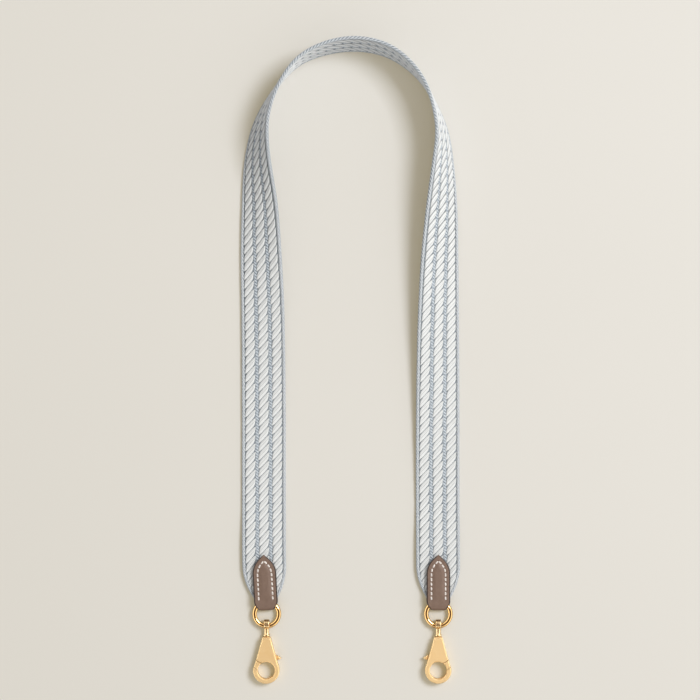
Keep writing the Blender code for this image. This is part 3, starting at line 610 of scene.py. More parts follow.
class Band:
    """The laid webbing: frames along its middle, and a way to bend flat shapes onto it."""

    def __init__(self):
        knots = np.array(PATH_SHARES) * (LEG_SPACING, ARCH_HEIGHT, 90.0)
        chords = np.linalg.norm(np.diff(knots[:, :2], axis=0), axis=1)
        along = np.concatenate([[0.0], np.cumsum(chords)])
        slopes = np.gradient(knots, along, axis=0)
        places = np.linspace(0.0, along[-1], round(along[-1] / PATH_STEP))
        index = np.clip(np.searchsorted(along, places, side="right") - 1, 0, len(along) - 2)
        span = along[index + 1] - along[index]
        share = ((places - along[index]) / span)[:, None]
        span = span[:, None]
        dense = (
            (2.0 * share**3 - 3.0 * share**2 + 1.0) * knots[index]
            + (share**3 - 2.0 * share**2 + share) * span * slopes[index]
            + (3.0 * share**2 - 2.0 * share**3) * knots[index + 1]
            + (share**3 - share**2) * span * slopes[index + 1]
        )
        spread = PATH_SMOOTHING / PATH_STEP
        reach = round(3.0 * spread)
        offsets = np.arange(-reach, reach + 1)
        window = np.exp(-0.5 * (offsets / spread) ** 2)
        dense = smoothed(dense, window / window.sum())
        steps = np.linalg.norm(np.diff(dense[:, :2], axis=0), axis=1)
        self.along = np.concatenate([[0.0], np.cumsum(steps)])
        self.length = float(self.along[-1])
        heading = np.unwrap(np.arctan2(*np.gradient(dense[:, :2], axis=0).T[::-1]))
        lean = np.radians(dense[:, 2])
        inward = np.stack([np.sin(heading), -np.cos(heading), np.zeros(len(heading))], 1)
        up = np.array([0.0, 0.0, 1.0])
        self.across = inward * np.cos(lean)[:, None] + up * np.sin(lean)[:, None]
        self.normal = up * np.cos(lean)[:, None] - inward * np.sin(lean)[:, None]
        self.standing = smoothstep(lean / math.radians(STANDING_LEAN))
        from_end = np.minimum(self.along, self.length - self.along)
        lifted = 1.0 - smoothstep((from_end - TAB_LENGTH + TAB_FOLD_REACH) / RISE_LENGTH)
        height = self.half_width(self.along) * np.sin(lean) + WEBBING_THICKNESS / 2.0 * np.abs(np.cos(lean))
        height += (LEATHER_THICKNESS + FIT_GAP) * lifted
        self.middle = np.stack([dense[:, 0], dense[:, 1], height], 1) + FRAME_SHIFT

    def half_width(self, place):
        from_end = np.minimum(place, self.length - place)
        fill = np.clip(from_end / END_TAPER_LENGTH, 0.0, 1.0)
        share = END_TAPER_SHARE + (1.0 - END_TAPER_SHARE) * (1.0 - (1.0 - fill) ** END_TAPER_POWER)
        return WEBBING_WIDTH / 2.0 * share

    def standing_at(self, place):
        return np.interp(place, self.along, self.standing)

    def bent(self, flat):
        """Points given as across, along and height above the middle, laid on the band."""
        place = np.clip(flat[:, 1], 0.0, self.length)
        found = []
        for rows in (self.middle, self.across, self.normal):
            found.append(np.stack([np.interp(place, self.along, rows[:, axis]) for axis in range(3)], 1))
        middle, across, normal = found
        across /= np.linalg.norm(across, axis=1)[:, None]
        normal /= np.linalg.norm(normal, axis=1)[:, None]
        return middle + across * flat[:, :1] + normal * flat[:, 2:3]


def marked(cell, marks, relief_shade=()):
    """Gives a cell its place along and round each strand, and how far every point of a float stands out, which sets
    the painted shade of its yarn.
    """
    layer = cell.data.uv_layers.new(name="yarn")
    layer.data.foreach_set("uv", np.array(marks, np.float32).ravel())
    if relief_shade:
        attribute = cell.data.attributes.new("relief_shade", "FLOAT", "POINT")
        attribute.data.foreach_set("value", np.array(relief_shade, np.float32))
    return cell


def float_cell(name, pitch, half_width, half_height):
    """One pitch of a rib: a plump slanting strand on the front and one on the back, each a closed pillow.

    A strand tiles with its neighbours along the strap, and its tips are rounded and tuck under.
    """
    columns = np.sin(np.linspace(-1.0, 1.0, 15) * math.pi / 2.0)
    rows = np.array((-1.0, -0.96, -0.85, -0.65, -0.4, -0.2, 0.0, 0.2, 0.4, 0.65, 0.85, 0.96, 1.0))
    width, height = len(columns), len(rows)
    vertices, relief_shade, faces, marks = [], [], [], []
    for face in (1.0, -1.0):
        first = len(vertices)
        for a in columns:
            tip = (1.0 - abs(a) ** 4) ** 0.65
            turn = math.sqrt(1.0 - abs(a) ** 14)
            climb = FLOAT_CLIMB * (a + FLOAT_END_CLIMB_SHARE * a**7)
            for b in rows:
                reach = pitch / 2.0 * FLOAT_FILL_SHARE * (tip if a * b > 0.0 else turn)
                across = (half_width - FLOAT_TIP_LEAN) * a + FLOAT_TIP_LEAN * b * abs(a) ** 3
                dome = math.sqrt((1.0 - abs(b) ** 2) * (1.0 - abs(a) ** 9))
                crease = 1.0 - FLOAT_CREASE_DEPTH * math.exp(-((b / FLOAT_CREASE_REACH) ** 2))
                plump = 0.9 + 0.1 * abs(a) ** 3
                vertices.append((face * across, climb + reach * b, face * half_height * dome * crease * plump))
                relief_shade.append(math.sqrt(1.0 - abs(b) ** 2))
        for i in range(width - 1):
            for j in range(height - 1):
                low = first + i * height + j
                high = low + height
                faces.append((low, high, high + 1, low + 1))
                for column, row in ((i, j), (i + 1, j), (i + 1, j + 1), (i, j + 1)):
                    marks.append((1.5 * columns[column], 0.25 + 0.25 * rows[row]))
        rim = [first + i * height for i in range(width)]
        rim += [first + (width - 1) * height + j for j in range(1, height)]
        rim += [first + i * height + height - 1 for i in reversed(range(width - 1))]
        rim += [first + j for j in reversed(range(1, height - 1))]
        faces.append(tuple(reversed(rim)))
        marks += [(0.0, 0.0)] * len(rim)
    return marked(mesh_object(name, vertices, faces), marks, relief_shade)


def rope_cell(name, pitch, half_width, half_height, strands, strand_width, strand_height, edge_share, rings):
    """One pitch of a flattened rope: every strand's run across one face or the other, along Y.

    A strand is widest in the middle of a face and draws in to edge_share of that where it turns over the edge.
    """
    section = [(math.cos(math.radians(angle)), math.sin(math.radians(angle))) for angle in SECTION_ANGLES]
    rounds = [angle / 360.0 for angle in SECTION_ANGLES] + [1.0]
    lead = strands * pitch
    reach = half_width - strand_height / 2.0
    rise = half_height - strand_height / 2.0
    nudge = 0.02
    step = lead / math.tau * 2.0 * nudge
    vertices, faces, marks = [], [], []

    def centre(turn):
        across = reach * (math.cos(turn) + 0.035 * math.cos(3.0 * turn)) / 1.035
        sine = math.sin(turn)
        return across, rise * math.copysign(abs(sine) ** 0.6, sine)

    for strand in range(strands):
        first = len(vertices)
        for ring in range(rings + 1):
            along = pitch * ring / rings
            turn = math.tau * along / lead + math.tau * strand / strands + ROPE_START_TURN
            x, z = centre(turn)
            x_after, z_after = centre(turn + nudge)
            x_before, z_before = centre(turn - nudge)
            tangent = Vector((x_after - x_before, step, z_after - z_before)).normalized()
            normal = Vector((z_after - z_before, 0.0, x_before - x_after))
            if normal.dot(Vector((x / half_width, 0.0, z / half_height))) < 0.0:
                normal.negate()
            normal = (normal - tangent * normal.dot(tangent)).normalized()
            side = tangent.cross(normal)
            width = strand_width * (edge_share + (1.0 - edge_share) * abs(math.sin(turn)))
            for wide, high in section:
                out = side * (width / 2.0 * wide) + normal * (strand_height / 2.0 * high)
                vertices.append((x + out.x, along + out.y, z + out.z))
        faces += net(rings + 1, len(section), first)
        for here, there in [(ring / rings, (ring + 1) / rings) for ring in range(rings)]:
            for near, far in zip(rounds, rounds[1:]):
                marks += [(here, near), (here, far), (there, far), (there, near)]
    return marked(mesh_object(name, vertices, faces), marks)


def cut_to_length(item, low, high):
    """Cuts a flat row off square at both ends and closes the cuts."""
    with edited(item) as shape:
        for place, direction in ((low, -1.0), (high, 1.0)):
            parts = shape.verts[:] + shape.edges[:] + shape.faces[:]
            plane = {"plane_co": (0.0, place, 0.0), "plane_no": (0.0, direction, 0.0)}
            bmesh.ops.bisect_plane(shape, geom=parts, clear_outer=True, **plane)
            bmesh.ops.holes_fill(shape, edges=[edge for edge in shape.edges if edge.is_boundary])


def lay(item, band, move):
    """Bends a flat row onto the band; move changes the flat points first."""
    placed = band.bent(move(point_values(item.data.vertices, "co", 3)))
    item.data.vertices.foreach_set("co", placed.astype(np.float32).ravel())
    item.data.update()
    tidied(item, fill=True).data.shade_smooth()
    return item


def shade_deepened(row, band, half_width):
    """Deepens the painted shade of a flat rib where the strap stands on its edge, in its grooves and along its sides,
    by lowering the value that its yarn is shaded by.
    """
    u, s = point_values(row.data.vertices, "co", 3).T[:2]
    relief_shade = row.data.attributes["relief_shade"].data
    values = point_values(relief_shade, "value", 1)[:, 0]
    standing = band.standing_at(s) ** 2
    side = np.clip((np.abs(u) / half_width - SIDE_SHADE_FROM) / (1.0 - SIDE_SHADE_FROM), 0.0, 1.0)
    values = values ** (1.0 + STANDING_GROOVE_POWER * standing) - STANDING_SIDE_SHADE * standing * side
    relief_shade.foreach_set("value", values.astype(np.float32))


def make_row(name, band, tree, make_cell, yarn, across, sizes, pitch, seed, follows_edge):
    """A row of cells laid along the whole band: a rib, a ditch cord or an edge roll."""
    spare = math.ceil(2.0 * RIB_PITCH / pitch)
    count = round(band.length / pitch) + 2 * spare
    cell = make_cell(name, pitch=pitch, **sizes)
    row = grown(cell, tree, {"Pitch": pitch, "Count": count, "Material": yarn})
    row.data.transform(Matrix.Translation((0.0, -spare * pitch, 0.0)))
    cut_to_length(row, ROW_END_GAP, band.length - ROW_END_GAP)
    if "relief_shade" in row.data.attributes:
        shade_deepened(row, band, sizes["half_width"])
    drift, swell, slip = (wander(seed + more, band.length, step, size) for more, step, size in ROW_WANDERS)

    def move(flat):
        u, s, h = flat.T
        inner = np.clip(s * (band.length - s) / (SLIP_FADE * band.length), 0.0, 1.0)
        s = s + slip(s) * inner
        u = u * (1.0 + swell(s))
        edge = band.half_width(np.clip(s, 0, band.length))
        if follows_edge:
            u = u + np.sign(across) * (edge - EDGE_ROLL_WIDTH / 2.0)
        else:
            u = u + across + drift(s)
            # Near the edge rolls a row is squeezed narrower and sinks.
            limit = edge - EDGE_ROLL_WIDTH * ROLL_ROOM_SHARE - STANDING_GAP * band.standing_at(s) - SQUEEZE_REACH
            over = np.abs(u) - limit
            squeezed = limit + SQUEEZE_REACH * (1.0 - np.exp(-np.maximum(over, 0.0) / SQUEEZE_REACH))
            u = np.where(over > 0.0, np.sign(u) * squeezed, u)
            h = h * (1.0 - SINK_SHARE * np.clip(over / SINK_REACH, 0.0, 1.0))
        free = (not follows_edge) * STANDING_SWELL_SHARE * band.standing_at(s)
        return np.stack([u, s, h * (1.0 + free + 0.5 * swell(s))], 1)

    return lay(row, band, move)


def make_ground(band):
    """The ground cloth between the ribs, as one closed flat band."""
    count = round(band.length / GROUND_STEP)
    columns = (-1.0, -0.5, 0.0, 0.5, 1.0)
    flat = []
    for index in range(count + 1):
        place = band.length * index / count
        half = float(band.half_width(place)) - GROUND_INSET
        for height in (GROUND_HALF_THICKNESS, -GROUND_HALF_THICKNESS):
            order = columns if height > 0 else columns[::-1]
            flat += [(half * share, place, height) for share in order]
    return lofted("webbing_ground", band.bent(np.array(flat)).reshape(count + 1, -1, 3), smooth=True)


def make_webbing(finishes):
    band = Band()
    tree = repeat_tree()
    ground = make_ground(band)
    ground.data.materials.append(finishes["ground"])
    rib = {"half_width": RIB_WIDTH / 2.0, "half_height": WEBBING_THICKNESS / 2.0}
    cord = {"half_width": DITCH_CORD_WIDTH / 2.0, "half_height": DITCH_CORD_HEIGHT / 2.0, **DITCH_CORD_STRANDS}
    roll = {"half_width": EDGE_ROLL_WIDTH / 2.0, "half_height": EDGE_ROLL_HEIGHT / 2.0, **EDGE_ROLL_STRANDS}
    rows = (
        ("rib_outer", float_cell, "white", -SIDE_RIB_ACROSS, rib, RIB_PITCH, False),
        ("rib_middle", float_cell, "white", 0.0, rib, RIB_PITCH, False),
        ("rib_inner", float_cell, "white", SIDE_RIB_ACROSS, rib, RIB_PITCH, False),
        ("ditch_cord_outer", rope_cell, "ditch", -DITCH_ACROSS, cord, DITCH_CORD_PITCH, False),
        ("ditch_cord_inner", rope_cell, "ditch", DITCH_ACROSS, cord, DITCH_CORD_PITCH, False),
        ("edge_roll_outer", rope_cell, "edge", -1.0, roll, EDGE_ROLL_PITCH, True),
        ("edge_roll_inner", rope_cell, "edge", 1.0, roll, EDGE_ROLL_PITCH, True),
    )
    for number, (name, make_cell, yarn, across, sizes, pitch, follows) in enumerate(rows):
        seed = RANDOM_SEED + number
        piece = make_row(name, band, tree, make_cell, finishes[yarn], across, sizes, pitch, seed, follows)
        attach(piece, "strap")
    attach(ground, "strap")
    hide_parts("webbing")


# Leather tab, its filler and its seam

def tab_side(steps):
    """The right edge of the tab from the fold up to the point, in the tab's own frame."""
    half = TAB_WIDTH / 2.0
    tip = TAB_LENGTH - TAB_FOLD_REACH
    side = [(half * x, TAB_CORNER_HEIGHT * y - TAB_FOLD_REACH) for x, y in TAB_CORNER_SHARES]
    for index in range(steps + 1):
        share = index / steps
        depth = TAB_POINT_LENGTH * (1.0 - share) ** TAB_POINT_CROWDING
        width = half * (1.0 - (1.0 - depth / TAB_POINT_LENGTH) ** TAB_POINT_POWER)
        side.append((width, tip - depth))
    return side


def both_sides(right):
    return right + [(-x, y) for x, y in reversed(right[:-1])]


def inner_side(distance, floor, steps):
    """The right half of a line that runs inside the tab's edge, from a height up to the middle."""
    side = tab_side(steps)
    moved = []
    for before, point, after in zip(side, side[1:], side[2:]):
        run = (Vector(after) - Vector(before)).normalized()
        moved.append((point[0] - run.y * distance, point[1] + run.x * distance))
    kept = [point for point in moved if point[0] > 0 and point[1] > floor]
    kept.insert(0, (TAB_WIDTH / 2.0 - distance, floor))
    last = Vector(kept[-1])
    run = (last - Vector(kept[-2])).normalized()
    kept.append((0.0, last.y - last.x * run.y / run.x))
    return kept


def stitch_places():
    """The awl holes, evenly along the seam from its left end round to its right end."""
    half = inner_side(STITCH_INSET, STITCH_START, 30)
    points = np.array([(-x, y) for x, y in half] + [(x, y) for x, y in reversed(half[:-1])])
    along = np.concatenate([[0.0], np.cumsum(np.linalg.norm(np.diff(points, axis=0), axis=1))])
    places = np.linspace(0.0, along[-1], 2 * STITCHES_PER_SIDE + 1)
    return np.stack([np.interp(places, along, points[:, axis]) for axis in (0, 1)], 1)


def distance_to_line(points, line):
    """The distance in plan from each point to a line of points."""
    nearest = np.full(len(points), 1.0)
    for start, end in zip(line[:-1], line[1:]):
        run = end - start
        share = np.clip((points - start) @ run / (run @ run), 0.0, 1.0)
        gap = np.linalg.norm(points - start - share[:, None] * run, axis=1)
        nearest = np.minimum(nearest, gap)
    return nearest


def tab_rows():
    """Stations along the folded strip: place along the tab and height of its outer and its inner face."""
    tip = TAB_LENGTH - TAB_FOLD_REACH
    centre = MID_HEIGHT - TAB_FOLD_REACH
    near_tip = tip - np.array(TIP_ROWS)
    flap = np.concatenate([near_tip, np.linspace(near_tip[-1], centre, 78)[1:-1]])
    rows = [(y, 0.0, y, LEATHER_THICKNESS) for y in flap]
    inner_reach = TAB_FOLD_REACH - FOLD_THICKNESS + centre
    for index in range(25):
        angle = math.pi * (index / 24.0 + 0.5)
        rows.append((
            centre + MID_HEIGHT * math.cos(angle),
            MID_HEIGHT - MID_HEIGHT * math.sin(angle),
            centre + inner_reach * math.cos(angle),
            MID_HEIGHT - (MID_HEIGHT - LEATHER_THICKNESS) * math.sin(angle),
        ))
    rows += [(y, STACK_HEIGHT, y, STACK_HEIGHT - LEATHER_THICKNESS) for y in flap[::-1]]
    return np.array(rows)


def rounded_off(to_edge, radius):
    """How deep a rounding of an edge lies at distances from that edge."""
    drop = np.maximum(radius - to_edge, 0.0)
    return radius - np.sqrt(np.maximum(radius**2 - drop**2, 0.0))


def make_leather(name, finishes):
    rows = tab_rows()
    side = np.array(tab_side(40))
    order = np.argsort(side[:, 1])
    half = np.interp(rows[:, 0], side[order, 1], side[order, 0])
    # Columns follow the edge closely, where it is rounded and painted, and spread evenly between.
    margin = np.array(EDGE_COLUMNS)[None, :] * np.minimum(half / (3.0 * EDGE_COLUMNS[-1]), 1.0)[:, None]
    inside = (half[:, None] - margin[:, -1:]) * np.linspace(1.0, -1.0, 31)[None, 1:-1]
    x = np.concatenate([half[:, None] - margin, inside, (margin - half[:, None])[:, ::-1]], axis=1)[:, ::-1]
    count = x.shape[1]
    y = np.repeat(rows[:, :1], count, axis=1)
    points = np.stack([x.ravel(), y.ravel()], 1)
    outline = np.array([(-a, b) for a, b in side] + [(a, b) for a, b in side[::-1][1:]])
    to_edge = distance_to_line(points, outline).reshape(x.shape)
    holes = stitch_places()
    to_hole = np.min(np.linalg.norm(points[:, None, :] - holes[None, :, :], axis=2), axis=1).reshape(x.shape)

    front = (np.arange(len(rows)) > len(rows) // 2)[:, None]
    on_flap = smoothstep((y + 0.0021) / 0.004)
    dome = TAB_DOME_HEIGHT * smoothstep((to_edge - 0.0029) / 0.0022) * smoothstep((y - 0.0002) / 0.006)
    channel = SEAM_CHANNEL_DEPTH * np.exp(-(((to_edge - STITCH_INSET) / SEAM_CHANNEL_REACH) ** 2))
    channel = channel * smoothstep((y + 0.0004) / 0.0012)
    dimple = HOLE_DIMPLE_DEPTH * np.exp(-((to_hole / HOLE_DIMPLE_REACH) ** 2))
    # The front flap is raised inside its seam, and each hole is a dimple on both flaps.
    raised = np.where(front, dome - channel - dimple, -0.4 * dimple) * on_flap
    thickness = np.hypot(rows[:, 0] - rows[:, 2], rows[:, 1] - rows[:, 3])[:, None]
    outer_depth = rounded_off(to_edge, OUTER_ROUNDING) - raised
    inner_depth = thickness - rounded_off(to_edge, INNER_ROUNDING)

    outer = rows[:, None, 0:2]
    inward = (rows[:, None, 2:4] - outer) / thickness[:, :, None]
    vertices = []
    for depth in (outer_depth, inner_depth):
        place = outer + inward * depth[:, :, None]
        vertices.append(np.concatenate([x[:, :, None], place], axis=2).reshape(-1, 3))
    total = len(vertices[0])
    faces, painted = [], []
    for row in range(len(rows) - 1):
        for column in range(count - 1):
            a = row * count + column
            b = a + count
            faces += [(a, a + 1, b + 1, b), (total + a + 1, total + a, total + b, total + b + 1)]
            painted += [min(column, count - 2 - column) < len(EDGE_COLUMNS) - 1, False]
        for column in (0, count - 1):
            a = row * count + column
            b = a + count
            faces.append((a, b, total + b, total + a))
            painted.append(True)
    leather = mesh_object(name, np.concatenate(vertices), faces)
    for look in ("leather", "edge_paint"):
        leather.data.materials.append(finishes[look])
    leather.data.polygons.foreach_set("material_index", np.array(painted, np.int32))
    return shade_by_angle(tidied(leather, weld=LEATHER_WELD, fill=True), 50.0)


def make_filler(name, finishes):
    """The filler between the front flap and the webbing, pressed against both."""
    outline = both_sides(inner_side(FILLER_INSET, WEBBING_END_HEIGHT, 24))
    low = LEATHER_THICKNESS + WEBBING_THICKNESS + FIT_GAP * 0.5
    high = STACK_HEIGHT - LEATHER_THICKNESS - FIT_GAP * 0.1
    filler = prism(name, outline, low, high)
    filler.data.materials.append(finishes["edge_paint"])
    return filler


def stitch_shape():
    """One stitch along X: a plump thread that rises out of one hole and dips into the next."""
    loops = []
    for share in np.arange(10) / 9.0 * 2.0 - 1.0:
        fat = 0.25 + 0.75 * (1.0 - abs(share) ** 4) ** 0.5
        rise = 0.00006 - 0.00030 * abs(share) ** 3
        wide, high = STITCH_HALF_WIDTH * fat, STITCH_HALF_HEIGHT * fat
        section = circle((0.0, 0.0), 1.0, 10)
        loops.append([(STITCH_LENGTH / 2.0 * share, wide * y, rise + high * z) for y, z in section])
    return lofted("stitch", loops, smooth=True)


def make_seam(name, tree, shape, finishes):
    """Every stitch of one tab, on its front and its back."""
    holes = stitch_places()
    middles = (holes[1:] + holes[:-1]) / 2.0
    runs = holes[1:] - holes[:-1]
    turns = np.arctan2(runs[:, 1], runs[:, 0])
    points = [(x, y, height) for height in STITCH_HEIGHTS for x, y in middles]
    seam = mesh_object(name, points, [], smooth=False)
    attribute = seam.data.attributes.new("turn", "FLOAT", "POINT")
    attribute.data.foreach_set("value", np.concatenate([turns, turns]).astype(np.float32))
    values = {"Shape": shape, "Slant": 0.10, "Size": 1.0, "Unevenness": 0.05, "Material": finishes["thread"]}
    tidied(grown(seam, tree, values)).data.shade_smooth()
    return seam


# Metal

def prism(name, outline, low, high):
    return lofted(name, [[(x, y, z) for x, y in outline] for z in (low, high)])


def inset(outline, distance):
    """The outline moved in by a distance. It runs anticlockwise."""
    moved = []
    count = len(outline)
    for index, point in enumerate(outline):
        here = Vector(point)
        before = (here - Vector(outline[index - 1])).normalized()
        after = (Vector(outline[(index + 1) % count]) - here).normalized()
        normal = Vector((-before.y - after.y, before.x + after.x)).normalized()
        mitre = distance / max(normal.dot(Vector((-after.y, after.x))), 0.5)
        moved.append(tuple(here + normal * mitre))
    return moved


def combined(target, other, operation):
    """Joins, cuts or trims the target with another solid, which is used up."""
    modifier = target.modifiers.new(operation.lower(), "BOOLEAN")
    modifier.operation = operation
    modifier.solver = "EXACT"
    modifier.object = other
    baked(target)
    bpy.data.objects.remove(other, do_unlink=True)
    return target


def arc(centre, radius, first, last, segments):
    angles = [math.radians(first + (last - first) * index / segments) for index in range(segments + 1)]
    return [(centre[0] + radius * math.cos(angle), centre[1] + radius * math.sin(angle)) for angle in angles]


def circle(centre, radius, count):
    angles = [math.tau * index / count for index in range(count)]
    return [(centre[0] + radius * math.cos(angle), centre[1] + radius * math.sin(angle)) for angle in angles]


def scaled(shares):
    """Places given as shares of the hook's radius, in metres."""
    return [(x * HOOK_RADIUS, y * HOOK_RADIUS) for x, y in shares]


def turned(name, profile, segments):
    """A solid turned about Y from a list of radius and height, lowest first."""
    return lofted(name, [[(x, y, z) for x, z in circle((0.0, 0.0), radius, segments)] for radius, y in profile])


def make_ring(name):
    """Round wire ring. Its origin is the middle of the wire at the top, inside the leather fold."""
    wire = circle((RING_RADIUS, 0.0), RING_WIRE_RADIUS, 32)
    loops = [[(reach * x, reach * y - RING_RADIUS, z) for reach, z in wire] for x, y in circle((0.0, 0.0), 1.0, 120)]
    return lofted(name, loops, closed=True, smooth=True)


def eye_height():
    """Height of the ring's wire above the hook's origin."""
    return HOOK_HEIGHT + SWIVEL_GAP + FLANGE_THICKNESS + NECK_LENGTH + EYE_HOLE_CLEARANCE + RING_WIRE_RADIUS


def softened(outline, times):
    """The outline with its corners cut again and again, until they look round."""
    for _ in range(times):
        cut = []
        for index, point in enumerate(outline):
            here, after = Vector(point), Vector(outline[(index + 1) % len(outline)])
            cut += [tuple(here.lerp(after, 0.22)), tuple(here.lerp(after, 0.78))]
        outline = cut
    return outline


def quarter_turn(steps):
    """Shares of a rounding from a flat face to a side: how far in, and how far down."""
    angles = [math.pi / 2.0 * step / steps for step in range(steps + 1)]
    return [(1.0 - math.sin(angle), 1.0 - math.cos(angle)) for angle in angles]


def make_swivel_eye(name):
    """Eye, neck, flange and headed post. Its origin is the middle of the ring's wire inside the hole."""
    hole_bottom = -RING_WIRE_RADIUS - EYE_HOLE_CLEARANCE
    top = hole_bottom + EYE_HOLE_LENGTH + EYE_TOP_WALL
    centre = top - EYE_RADIUS
    body_top = HOOK_HEIGHT - eye_height()
    low = body_top + SWIVEL_GAP
    high = low + FLANGE_THICKNESS
    head_top = body_top - POST_WALL - SWIVEL_GAP
    head_low = head_top - POST_HEAD_THICKNESS
    rounding = 0.0003
    profile = [
        (POST_HEAD_RADIUS - rounding, head_low),
        (POST_HEAD_RADIUS, head_low + rounding),
        (POST_HEAD_RADIUS, head_top),
        (POST_RADIUS, head_top),
        (POST_RADIUS, low),
    ]
    curve = quarter_turn(5)
    profile += [(FLANGE_RADIUS - rounding * a, low + rounding * b) for a, b in curve]
    profile += [(FLANGE_RADIUS - rounding * a, high - rounding * b) for a, b in reversed(curve)]
    profile += [
        (NECK_RADIUS + 0.00018, high),
        (NECK_RADIUS + 0.00004, high + 0.0002),
        (NECK_RADIUS, high + 0.0005),
        (NECK_RADIUS, centre),
    ]
    eye = turned(name, profile, 56)
    half = EYE_WIDTH / 2.0
    edge = 0.00045
    levels = [(EYE_RADIUS - edge * a, half - edge * b) for a, b in quarter_turn(6)]
    levels += [(size, -x) for size, x in reversed(levels)]
    loops = [[(x, centre + y, z) for y, z in circle((0.0, 0.0), size, 96)] for size, x in levels]
    combined(eye, lofted("eye_disc", loops), "UNION")
    lower = hole_bottom + EYE_HOLE_RADIUS
    upper = hole_bottom + EYE_HOLE_LENGTH - EYE_HOLE_RADIUS
    outline = arc((lower, 0.0), EYE_HOLE_RADIUS, 90.0, 270.0, 28) + arc((upper, 0.0), EYE_HOLE_RADIUS, -90.0, 90.0, 28)
    flare = 0.00025
    loops = []
    for x, grow in ((-EYE_WIDTH, flare * 4.0), (-half + flare, 0.0), (half - flare, 0.0), (EYE_WIDTH, flare * 4.0)):
        loops.append([(x, y, z) for y, z in inset(outline, -grow)])
    combined(eye, lofted("eye_hole", loops), "DIFFERENCE")
    return shade_by_angle(tidied(eye), 40.0, flat_sides=True)


def hook_outline():
    """The teardrop outline of the hook, anticlockwise from the top left corner."""
    half = HOOK_TOP_WIDTH / 2.0
    corner = 0.0004
    top = [(half - corner, HOOK_HEIGHT), (half - corner * 0.3, HOOK_HEIGHT - corner * 0.3)]
    sides = scaled(HOOK_SIDE_SHARES)
    start = Vector((half, HOOK_HEIGHT - corner))
    run = [tuple(start.lerp(Vector(sides[0]), share / 6.0)) for share in range(6)]
    ends = arc((0.0, 0.0), HOOK_RADIUS, HOOK_ROUND_FROM, HOOK_ROUND_FROM, 1)[:1]
    knots = [run[-1]] + sides + ends
    smooth = []
    for index in range(1, len(knots) - 1):
        a, b, c = (Vector(knot) for knot in knots[index - 1 : index + 2])
        smooth += [tuple(a.lerp(b, 0.75)), tuple(b), tuple(b.lerp(c, 0.25))]
    right = top + run + smooth
    left = [(-x, y) for x, y in right]
    around = arc((0.0, 0.0), HOOK_RADIUS, 180.0 - HOOK_ROUND_FROM, 360.0 + HOOK_ROUND_FROM, 90)
    return left + around + right[::-1]


def hook_plate(name):
    half = HOOK_THICKNESS / 2.0
    outline = hook_outline()
    # A flat chamfer with a small rounding at its top and bottom.
    levels = [(inset(outline, a) if a else outline, half - b) for a, b in HOOK_CHAMFER]
    levels += [(line, -z) for line, z in reversed(levels)]
    plate = lofted(name, [[(x, y, z) for x, y in line] for line, z in levels])
    flare = [(HOOK_HOLE_RADIUS + HOOK_HOLE_RIM[0][0] + CUT_MARGIN, half + CUT_MARGIN)]
    upper = flare + [(HOOK_HOLE_RADIUS + a, half - b) for a, b in HOOK_HOLE_RIM]
    profile = upper + [(size, -z) for size, z in reversed(upper)]
    loops = [[(x, y, z) for x, y in circle((0.0, 0.0), size, 128)] for size, z in profile]
    return combined(plate, lofted("hook_hole", loops), "DIFFERENCE")


def gate_window(gap):
    """Plan outline of the space for the gate, drawn in by a gap: knuckle arc above, lap on the nose below."""
    pin = scaled([GATE_PIN_SHARES])[0]
    knuckle = arc(pin, GATE_KNUCKLE_RADIUS + gap, KNUCKLE_FROM, KNUCKLE_TO, 30)
    lap = [(x, y + gap) for x, y in scaled(NOSE_LAP_SHARES)]
    return knuckle + lap[::-1] + [(-HOOK_RADIUS - CUT_MARGIN, lap[0][1])]


def make_hook_body(name):
    body = hook_plate(name)
    half = HOOK_THICKNESS / 2.0
    pin = scaled([GATE_PIN_SHARES])[0]
    for cutter, outline, reach in (
        ("gate_space", gate_window(0.0), half + CUT_MARGIN),
        ("lever_slot", scaled(SLOT_SHARES), SLOT_THICKNESS / 2.0),
        ("pin_bore", circle(pin, PIN_RADIUS + FIT_GAP, 32), half - PIN_WALL + FIT_GAP),
    ):
        combined(body, prism(cutter, outline, -reach, reach), "DIFFERENCE")
    ceiling = HOOK_HEIGHT - POST_WALL
    chamber = POST_HEAD_RADIUS + GATE_GAP
    profile = (
        (chamber, ceiling - HEAD_CHAMBER_DEPTH),
        (chamber, ceiling),
        (POST_RADIUS + GATE_GAP, ceiling),
        (POST_RADIUS + GATE_GAP, HOOK_HEIGHT + CUT_MARGIN),
    )
    combined(body, turned("post_bore", profile, 40), "DIFFERENCE")
    return shade_by_angle(tidied(body), 24.0, flat_sides=True)


def make_gate(name):
    """Gate block, thin lever arm and rounded thumb nub in one piece, in the hook's own frame."""
    gate = hook_plate(name)
    half = HOOK_THICKNESS / 2.0
    arm = LEVER_THICKNESS / 2.0
    nub = NUB_THICKNESS / 2.0
    over = half + CUT_MARGIN
    combined(gate, prism("gate_block", gate_window(GATE_GAP), -over, over), "INTERSECT")
    combined(gate, prism("lever_arm", scaled(LEVER_ARM_SHARES), -arm, arm), "UNION")
    outline = softened(scaled(reversed(NUB_SHARES)), 3)
    middle = sum((Vector(point) for point in outline), Vector((0.0, 0.0))) / len(outline)
    loops = []
    for step in range(-8, 9):
        angle = math.pi / 2.0 * step / 8.0
        size = 0.3 + 0.7 * math.cos(angle)
        line = [middle + (Vector(point) - middle) * size for point in outline]
        loops.append([(point.x, point.y, nub * math.sin(angle)) for point in line])
    combined(gate, lofted("thumb_nub", loops), "UNION")
    bore = circle(scaled([GATE_PIN_SHARES])[0], PIN_RADIUS + FIT_GAP, 32)
    combined(gate, prism("lever_bore", bore, -half, half), "DIFFERENCE")
    return shade_by_angle(tidied(gate), 24.0, flat_sides=True)


